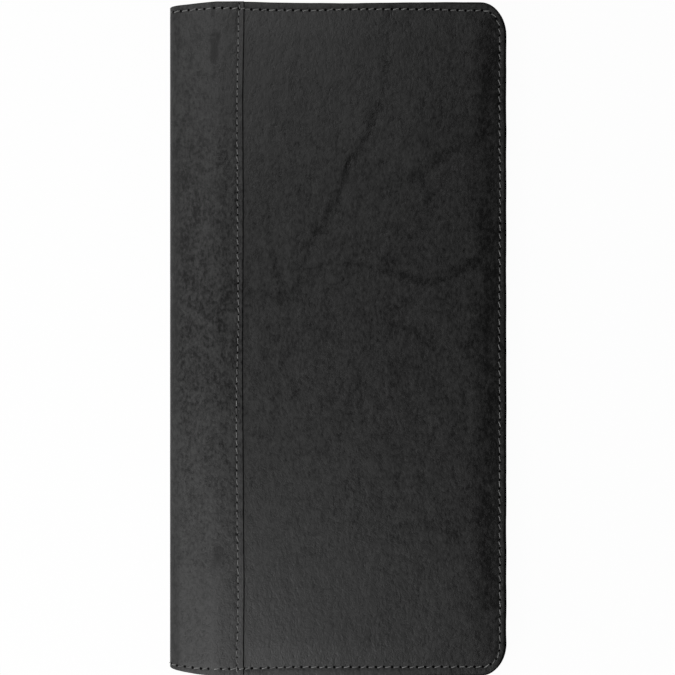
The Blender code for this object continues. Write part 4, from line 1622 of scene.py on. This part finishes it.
@dataclass(frozen=True)
class StitchPoints:
    """Middles of the stitches of a seam, or the holes between them, with their directions and sizes."""

    places: Values
    along: Values
    outward: Values
    sizes: Values

    @classmethod
    def on_line(
        cls, line: Values, outward: Values, pitch: Callable[[float], float], seed: int
    ) -> tuple["StitchPoints", "StitchPoints"]:
        """Set stitches from hole to hole along a line, a little unevenly, as a hand does.

        Args:
            line: Close points along the seam.
            outward: Direction out of the leather at each of them.
            pitch: Length of a stitch at a share of the seam.
            seed: Fixes the unevenness.

        Returns:
            The stitches and the holes.
        """
        length = np.append(0.0, np.cumsum(np.linalg.norm(np.diff(line, axis=0), axis=1)))
        total = length[-1]
        draw = random.Random(seed)
        where, astray, at = [], [], 0.0
        while at < total + pitch(1.0) / 2:
            where.append(at + draw.uniform(-1.0, 1.0) * 0.11 * MM)
            astray.append(draw.uniform(-1.0, 1.0) * 0.06 * MM)
            at += pitch(min(at / total, 1.0))
        where, astray = np.clip(where, 0.0, total), np.array(astray)

        def read(lengths: Values, values: Values) -> Values:
            """Values at some lengths along the line."""
            return np.stack([np.interp(lengths, length, values[:, k]) for k in range(3)], axis=1)

        def points(lengths: Values, aside: Values) -> tuple[Values, Values, Values]:
            """Places a little beside the line, with their directions along it and out of the leather."""
            along = read(lengths + 0.3 * MM, line) - read(lengths - 0.3 * MM, line)
            along /= np.linalg.norm(along, axis=1, keepdims=True)
            out = read(lengths, outward)
            return read(lengths, line) + np.cross(out, along) * aside[:, None], along, out

        places, along, out = points(where, astray)
        middles, _, middle_out = points((where[1:] + where[:-1]) / 2, (astray[1:] + astray[:-1]) / 2)
        runs = places[1:] - places[:-1]
        sizes = np.linalg.norm(runs, axis=1) / pitch(0.5)
        kept = sizes > 0.4
        hole_shadows = cls(places[1:], along[1:], out[1:], 1.0 - 0.25 * np.abs(along[1:, 1]))
        return cls(middles[kept], runs[kept], middle_out[kept], sizes[kept]), hole_shadows

    def cloud(self, name: str) -> bpy.types.Object:
        """Object of bare points that carry the directions."""
        mesh = bpy.data.meshes.new(name)
        mesh.from_pydata(self.places, [], [])
        add_marks(mesh, {"along": self.along, "outward": self.outward, "size": self.sizes})
        return link_new(name, mesh)


class SewnNodes(Nodes):
    """Geometry nodes that set a thread or a needle hole on each point of a seam."""

    def __init__(self, name: str, sizes: Sequence[str]) -> None:
        """Start a tree with named sizes, a seed and a finish as its inputs."""
        super().__init__(bpy.data.node_groups.new(name, "GeometryNodeTree"))
        kinds = {"Seam": "Geometry", **{size: "Float" for size in sizes}, "Seed": "Int", "Finish": "Material"}
        for label, kind in kinds.items():
            self.tree.interface.new_socket(label, in_out="INPUT", socket_type=f"NodeSocket{kind}")
        self.tree.interface.new_socket("Sewn", in_out="OUTPUT", socket_type="NodeSocketGeometry")
        self.group_input = self.add("NodeGroupInput")

    def given(self, label: str) -> Socket:
        """One input of the tree."""
        return Socket(self, self.group_input.outputs[label])

    def vector(self, x: "float | Socket", y: "float | Socket", z: "float | Socket") -> Socket:
        """Vector of three numbers."""
        return self.get("ShaderNodeCombineXYZ", {}, {0: x, 1: y, 2: z})

    def uneven(self, low: "float | Socket", high: "float | Socket", seed: Socket) -> Socket:
        """Number drawn for each point."""
        return self.get("FunctionNodeRandomValue", {"data_type": "FLOAT"}, {2: low, 3: high, "Seed": seed}, 1)

    def on_point(self, name: str, kind: str = "FLOAT_VECTOR") -> Socket:
        """What is stored on each point under a name."""
        return self.get("GeometryNodeInputNamedAttribute", {"data_type": kind}, {"Name": name})

    def size(self, low: float, high: float) -> Socket:
        """Size stored on each point, times a number drawn for it."""
        return self.on_point("size", "FLOAT") * self.uneven(low, high, self.given("Seed") + 1.0)

    def end(self, shape: Socket, turn: Socket, scale: Socket) -> bpy.types.NodeTree:
        """Set a shape on every point, turned by its directions, and end the tree.

        Args:
            shape: The shape.
            turn: Turn about the direction out of the leather.
            scale: Size of each copy.

        Returns:
            The tree.
        """
        axes = {"primary_axis": "Z", "secondary_axis": "X"}
        ways = {0: self.on_point("outward"), 1: self.on_point("along")}
        turned = self.get("FunctionNodeAxesToRotation", axes, ways)
        slanted = self.get("FunctionNodeAxisAngleToRotation", {}, {"Axis": (0.0, 0.0, 1.0), "Angle": turn})
        turned = self.get("FunctionNodeRotateRotation", {"rotation_space": "LOCAL"}, {0: turned, 1: slanted})
        inputs = {"Points": self.given("Seam"), "Instance": shape, "Rotation": turned, "Scale": scale}
        placed = self.get("GeometryNodeInstanceOnPoints", {}, inputs)
        real = self.get("GeometryNodeRealizeInstances", {}, {0: placed})
        smooth = self.get("GeometryNodeSetShadeSmooth", {}, {0: real})
        finished = self.get("GeometryNodeSetMaterial", {}, {0: smooth, "Material": self.given("Finish")})
        self.add("NodeGroupOutput", {}, {0: finished})
        return self.tree


def thread_tree() -> bpy.types.NodeTree:
    """Tree that sets one slanted stitch of thread on each point."""
    nodes = SewnNodes("slanted_stitches", ("Length", "Thread", "Rise", "Sink", "Slant", "Unevenness"))
    length, slant, uneven = nodes.given("Length"), nodes.given("Slant"), nodes.given("Unevenness")
    low, handle = nodes.given("Sink") * -1.0, nodes.given("Rise") * 1.5
    ends = {
        "Start": nodes.vector(length * -0.5, 0.0, low),
        "Start Handle": nodes.vector(length * -0.4, 0.0, handle),
        "End Handle": nodes.vector(length * 0.4, 0.0, handle),
        "End": nodes.vector(length * 0.5, 0.0, low),
        "Resolution": 6,
    }
    arch = nodes.get("GeometryNodeCurvePrimitiveBezierSegment", {"mode": "POSITION"}, ends)
    round_form = {"Resolution": 6, "Radius": nodes.given("Thread") * 0.5}
    ring = nodes.get("GeometryNodeCurvePrimitiveCircle", {"mode": "RADIUS"}, round_form)
    swept = {"Curve": arch, "Profile Curve": ring, "Fill Caps": True}
    shape = nodes.get("GeometryNodeCurveToMesh", {}, swept)
    turn = nodes.uneven(slant - uneven, slant + uneven, nodes.given("Seed"))
    return nodes.end(shape, turn, nodes.vector(nodes.size(0.93, 1.06), 1.0, 1.0))


def hole_shadow_tree() -> bpy.types.NodeTree:
    """Tree that sets one flat disc of painted hole shadow on each point."""
    nodes = SewnNodes("needle_hole_shadows", ("Width", "Lift", "Slant"))
    round_form = {"Vertices": 8, "Radius": nodes.given("Width") * 0.5}
    flat = nodes.get("GeometryNodeMeshCircle", {"fill_type": "TRIANGLE_FAN"}, round_form)
    raised = nodes.vector(0.0, 0.0, nodes.given("Lift"))
    shape = nodes.get("GeometryNodeTransform", {}, {0: flat, "Translation": raised})
    size = nodes.size(0.88, 1.1)
    return nodes.end(shape, nodes.given("Slant"), nodes.vector(size, size, 1.0))


@dataclass(frozen=True)
class Stitching:
    """Sizes of the thread and of its stitches."""

    thread: float = 0.33 * MM
    cover_share: float = 0.7
    rise: float = 0.16 * MM
    sink: float = 0.2 * MM
    slant: float = math.radians(13.0)
    unevenness: float = math.radians(8.0)
    # Width and lift of each disc of painted hole shadow.
    hole: float = 0.96 * MM
    hole_lift: float = 0.035 * MM

    def turned_if(self, is_turned: bool) -> "Stitching":
        """The same, or slanted the other way."""
        return replace(self, slant=-self.slant) if is_turned else self


class Tailor:
    """Sews seams with thread and with discs of painted shadow in their needle holes, each as plain meshes."""

    def __init__(self, shop: Shop) -> None:
        """Make the two trees."""
        self.shop = shop
        self.threads = thread_tree()
        self.hole_shadows = hole_shadow_tree()

    def grow(
        self, cloud: bpy.types.Object, tree: bpy.types.NodeTree, values: dict[str, object]
    ) -> bpy.types.Object:
        """Run a tree on a seam's points and keep the result as a plain mesh.

        Args:
            cloud: Points of the seam.
            tree: The tree.
            values: Values of its named inputs.

        Returns:
            The piece, under the points' name.
        """
        modifier = cloud.modifiers.new("sewn", "NODES")
        modifier.node_group = tree
        keys = {item.name: item.identifier for item in tree.interface.items_tree if item.in_out == "INPUT"}
        for name, value in values.items():
            modifier[keys[name]] = value
        evaluated = cloud.evaluated_get(bpy.context.evaluated_depsgraph_get())
        mesh = bpy.data.meshes.new_from_object(evaluated)
        name = cloud.name
        bpy.data.objects.remove(cloud)
        return link_new(name, mesh)

    def sew(
        self,
        name: str,
        line: Values,
        outward: Values,
        pitch: Callable[[float], float],
        seed: int,
        look: Stitching,
    ) -> list[bpy.types.Object]:
        """Sew one seam.

        Args:
            name: Name of the seam.
            line: Close points along it on the leather.
            outward: Direction out of the leather at each.
            pitch: Length of a stitch at a share of the seam.
            seed: Fixes its unevenness.
            look: Sizes of its thread and holes.

        Returns:
            The thread and the painted hole shadows.
        """
        stitches, hole_shadows = StitchPoints.on_line(line, outward, pitch, seed)
        thread = {
            "Length": pitch(0.5) * look.cover_share,
            "Thread": look.thread,
            "Rise": look.rise,
            "Sink": look.sink,
            "Slant": look.slant,
            "Unevenness": look.unevenness,
            "Seed": seed,
            "Finish": self.shop.finishes["thread"],
        }
        hole = {"Width": look.hole, "Lift": look.hole_lift, "Slant": look.slant, "Seed": seed}
        hole["Finish"] = self.shop.finishes["hole"]
        return [
            self.grow(stitches.cloud(f"{name}_thread"), self.threads, thread),
            self.grow(hole_shadows.cloud(f"{name}_holes"), self.hole_shadows, hole),
        ]


@dataclass
class Seams(Part):
    """Seams of one cover that show on the same side."""

    tailor: Tailor

    outward_sign = 1.0

    def skin(self, reach: Values, height: Values) -> Values:
        """Depth at which a seam lies at a place."""
        raise NotImplementedError

    def sew(
        self,
        name: str,
        reach: Values,
        height: Values,
        pitch: Callable[[float], float],
        seed: int,
        look: Stitching,
    ) -> list[bpy.types.Object]:
        """Sew a seam along places on the cover, and give its thread and its painted hole shadows."""
        line = self.page.world(*self.moved(reach, height), self.skin(reach, height))
        return self.tailor.sew(name, line, self.page.outward(reach) * self.outward_sign, pitch, seed, look)


@dataclass
class CoverSeams(Seams):
    """Seams that show on the outside of one cover: round its open sides, over the fold, and up the strip."""

    panel: CoverPanel
    end_pitch: float = 2.88 * MM
    side_pitch: float = 2.99 * MM
    spine_pitch: tuple[float, float] = (2.9 * MM, 2.5 * MM)
    look: Stitching = Stitching()
    spine_look: Stitching = Stitching(0.30 * MM, 0.72, slant=math.radians(9.0), hole=0.74 * MM)
    fine: float = 0.2 * MM
    end_gap: float = 0.8 * MM

    def page_line(self) -> tuple[Values, Values]:
        """Reaches and heights of the seam from the bottom of the fold, round the free edge, to its top."""
        return self.inside(*self.sizes.outline(self.sizes.fold_reach, self.fine).T)

    def inside(self, reach: Values, height: Values, outx: Numbers, outy: Numbers) -> tuple[Values, Values]:
        """Places of the seam, from those of the outline and its outward directions."""
        inset = self.shop.edges.seam_inset(reach, height)
        return reach - outx * inset, height - outy * inset

    def skin(self, reach: Values, height: Values) -> Values:
        """Depth of the outermost leather at a place."""
        strip = self.panel.strip
        depths = strip.outer_depth(reach, height), self.panel.outer_depth(reach, height)
        return np.where(reach < strip.edge_reach(height), *depths)

    def build(self) -> None:
        """Sew the cover's seams."""
        side, sizes, half = self.side.value, self.sizes, self.sizes.height / 2
        seed = 100 if self.side is Side.FRONT else 200
        look, spine_look = (one.turned_if(self.side is Side.BACK) for one in (self.look, self.spine_look))

        def edge_pitch(share: float) -> float:
            """Stitches are longer up the free edge than along the ends."""
            return self.side_pitch if abs(share - 0.5) < 0.27 else self.end_pitch

        for piece in self.sew(f"{side}_edge_seam", *self.page_line(), edge_pitch, seed, look):
            self.attach(piece, "cover_leather")
        for upward, where in ((-1.0, "bottom"), (1.0, "top")):
            reach = np.array(spread(self.page.fold.middle + 0.3 * MM, sizes.fold_reach, self.fine))
            reach = reach if upward < 0.0 else reach[::-1]
            line = self.inside(reach, np.full_like(reach, upward * half), 0.0, upward)
            pieces = self.sew(f"{side}_fold_{where}_seam", *line, lambda _: self.end_pitch, seed + 3, look)
            for piece in pieces:
                self.attach(piece, "cover_leather", bends=True)
        height = np.array(spread(-half + self.end_gap, half - self.end_gap, self.fine))
        low, high = self.spine_pitch
        line = self.panel.strip.seam_reach(height), height
        pitch = lambda share: low + (high - low) * share
        for piece in self.sew(f"{side}_spine_seam", *line, pitch, seed + 7, spine_look):
            self.attach(piece, "cover_leather")


@dataclass(frozen=True)
class Gutter:
    """Seam that holds a piece to its page beside the fold."""

    name: str
    reach: float
    foot: float
    top: float


@dataclass
class PageSeams(Seams):
    """Seams that show on the inside of one page."""

    outside: CoverSeams
    layers: list[tuple[Surface, Surface]]
    gutters: list[Gutter]
    pitch: float = 2.9 * MM

    outward_sign = -1.0

    def skin(self, reach: Values, height: Values) -> Values:
        """Depth of the innermost leather or cloth at a place."""
        depth = np.zeros(np.shape(reach))
        for covers, skin in self.layers:
            depth = np.where(covers(reach, height), np.maximum(skin(reach, height), depth), depth)
        return depth

    def build(self) -> None:
        """Sew the page's seams."""
        is_front = self.side is Side.FRONT
        seed = 300 if is_front else 400
        look = self.outside.look.turned_if(is_front)
        pitch = lambda _: self.pitch
        reach, height = self.outside.page_line()
        kept = reach > self.sizes.page_start
        pieces = self.sew(f"{self.side.value}_page_seam", reach[kept], height[kept], pitch, seed, look)
        for gutter in self.gutters:
            height = np.array(spread(gutter.foot, gutter.top, self.outside.fine))
            reach = np.full_like(height, gutter.reach)
            pieces += self.sew(f"{gutter.name}_gutter_seam", reach, height, pitch, seed + 5, look)
        for piece in pieces:
            self.attach(piece, "pocket_leather")


@dataclass(frozen=True)
class Lamp:
    """Soft square lamp that faces the case."""

    name: str
    place: tuple[float, float, float]
    size: float
    power: float

    def build(self) -> None:
        """Hang the lamp."""
        light = bpy.data.lights.new(self.name, "AREA")
        light.size, light.energy = self.size, self.power
        lamp = link_new(self.name, light)
        lamp.location = self.place
        lamp.rotation_euler = (-Vector(self.place)).to_track_quat("-Z", "Y").to_euler()
        lamp.visible_camera = False


@dataclass(frozen=True)
class Studio:
    """Pale floor, soft light and the photograph's camera."""

    sizes: CaseSizes
    lens: float = 100.0
    sensor: float = 36.0
    distance: float = 0.6553
    aside: float = 0.06 * MM
    above: float = 0.45 * MM
    floor_size: float = 6.0
    floor_gap: float = 0.05 * MM
    floor_shade: float = 0.82
    paper_share: float = 0.97
    ambient: float = 0.06
    lamps: tuple[Lamp, ...] = (
        Lamp("head_lamp", (-0.143, 0.248, 0.410), 0.25, 0.63),
        Lamp("foot_lamp", (-0.143, -0.248, 0.410), 0.25, 0.93),
        Lamp("high_side_lamp", (-0.443, 0.094, 0.211), 0.40, 0.66),
        Lamp("low_side_lamp", (-0.367, -0.266, 0.211), 0.40, 0.92),
    )

    def add_floor(self) -> None:
        """Lay the pale floor, which looks white to the eye and keeps the case's shadow."""
        material = bpy.data.materials.new("pale_floor")
        nodes = Nodes.of(material)
        matt = nodes.get("ShaderNodeBsdfDiffuse", {}, {0: (*(self.floor_shade,) * 3, 1.0)})
        white = nodes.get("ShaderNodeEmission", {}, {0: (1.0, 1.0, 1.0, 1.0), 1: 1.0})
        path = nodes.add("ShaderNodeLightPath").outputs
        seen = [Socket(nodes, path[f"Is {kind} Ray"]) for kind in ("Camera", "Glossy", "Transmission")]
        direct = nodes.math("MAXIMUM", nodes.math("MAXIMUM", seen[0], seen[1]), seen[2])
        mixed = nodes.get("ShaderNodeMixShader", {}, {0: direct * self.paper_share, 1: matt, 2: white})
        nodes.add("ShaderNodeOutputMaterial", {}, {"Surface": mixed})
        half = self.floor_size / 2
        corners = [(-half, -half), (half, -half), (half, half), (-half, half)]
        mesh = bpy.data.meshes.new("floor")
        mesh.from_pydata([(x, y, -self.floor_gap) for x, y in corners], [], [[0, 1, 2, 3]])
        mesh.materials.append(material)
        floor = link_new("floor", mesh)
        floor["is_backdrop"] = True

    def add_camera(self) -> None:
        """Set the camera straight above the front cover."""
        data = bpy.data.cameras.new("camera")
        data.lens, data.sensor_width = self.lens, self.sensor
        camera = link_new("camera", data)
        face = self.sizes.thickness - self.sizes.front_step
        camera.location = (self.aside, self.above, face + self.distance)
        bpy.context.scene.camera = camera

    def add_world(self) -> None:
        """Surround the case with faint light, which looks white to the eye."""
        world = bpy.data.worlds.new("studio")
        nodes = Nodes.of(world)
        seen = nodes.get("ShaderNodeLightPath", output="Is Camera Ray")
        inputs = {0: (1.0, 1.0, 1.0, 1.0), 1: self.ambient + seen * (1.0 - self.ambient)}
        nodes.add("ShaderNodeOutputWorld", {}, {"Surface": nodes.get("ShaderNodeBackground", {}, inputs)})
        bpy.context.scene.world = world

    def build(self) -> None:
        """Set up the floor, the light and the camera."""
        self.add_floor()
        self.add_world()
        for lamp in self.lamps:
            lamp.build()
        bpy.context.scene.view_settings.view_transform = "Standard"
        self.add_camera()


@dataclass(frozen=True)
class Filling:
    """What is sewn to one page over its lining, and the seams that hold it beside the fold."""

    layers: list[tuple[Surface, Surface]]
    gutters: list[Gutter]

    def over(self, lining: Lining) -> list[tuple[Surface, Surface]]:
        """Where the lining and each piece on it lie, and the depths of their inner faces."""
        return [(lambda reach, _: np.full(np.shape(reach), True), lining.skin), *self.layers]


def fill_back_page(shop: Shop) -> Filling:
    """Make the back page's pockets: a full-height one for tickets, and a roomy one for a passport."""
    ticket = FlatPocket(
        shop,
        Side.BACK,
        node="ticket_pocket",
        start=18.8 * MM,
        seat=3.34 * MM,
        room=0.46 * MM,
        thickness=0.7 * MM,
        mouth=92.0 * MM,
        notch=True,
    )
    passport = PassportPocket(
        shop,
        Side.BACK,
        node="passport_pocket",
        start=19.2 * MM,
        seat=4.1 * MM,
        room=0.0,
        thickness=0.7 * MM,
        mouth=10.3 * MM,
        notch=True,
        pattern=0.7,
    )
    for pocket in (ticket, passport):
        pocket.build()
    gutters = [
        Gutter("passport_pocket", 20.4 * MM, 3.0 * MM - shop.sizes.height / 2, 9.0 * MM),
        Gutter("ticket_pocket", 20.4 * MM, 12.6 * MM, 90.6 * MM),
    ]
    return Filling([(pocket.covers, pocket.skin) for pocket in (ticket, passport)], gutters)


def fill_front_page(shop: Shop) -> Filling:
    """Make the front page's sleeve, open at the spine, its flat slip pocket and its card slots."""
    sleeve = FlatPocket(
        shop,
        Side.FRONT,
        node="card_page",
        start=18.8 * MM,
        seat=3.34 * MM,
        room=0.46 * MM,
        thickness=0.6 * MM,
        pattern=0.8,
        is_sewn_at_gutter=False,
    )
    slip = FlatPocket(
        shop,
        Side.FRONT,
        node="slip_pocket",
        start=19.2 * MM,
        seat=4.0 * MM,
        room=0.46 * MM,
        thickness=0.5 * MM,
        mouth=-2.0 * MM,
        pattern=0.9,
    )
    slots = CardSlots(shop, Side.FRONT, sleeve)
    for part in (sleeve, slip, slots):
        part.build()
    foot = slots.mouth(slots.count - 1) - slots.depth
    gutters = [
        Gutter("card_slots", 20.7 * MM, foot + 1.0 * MM, slots.top_mouth - 1.0 * MM),
        Gutter("slip_pocket", 20.4 * MM, 3.0 * MM - shop.sizes.height / 2, -3.2 * MM),
    ]
    return Filling([(pocket.covers, pocket.skin) for pocket in (sleeve, slip)] + slots.layers(), gutters)


def main() -> None:
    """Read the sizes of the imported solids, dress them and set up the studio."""
    logging.basicConfig(level=logging.INFO, format="%(message)s")
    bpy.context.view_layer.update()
    shop = Shop.open()
    tailor = Tailor(shop)
    outsides, linings = {}, {}
    for side in Side:
        strip = SpineStrip(shop, side)
        panel, lining = CoverPanel(shop, side, strip), Lining(shop, side)
        seams = CoverSeams(shop, side, tailor, panel)
        for part in (panel, strip, Board(shop, side), lining, EdgeCoat(shop, side, panel, lining), seams):
            part.build()
        outsides[side], linings[side] = seams, lining
    fillings = {Side.BACK: fill_back_page(shop), Side.FRONT: fill_front_page(shop)}
    for side, filling in fillings.items():
        layers = filling.over(linings[side])
        PageSeams(shop, side, tailor, outsides[side], layers, filling.gutters).build()
    Studio(shop.sizes).build()


if __name__ == "__main__":
    main()
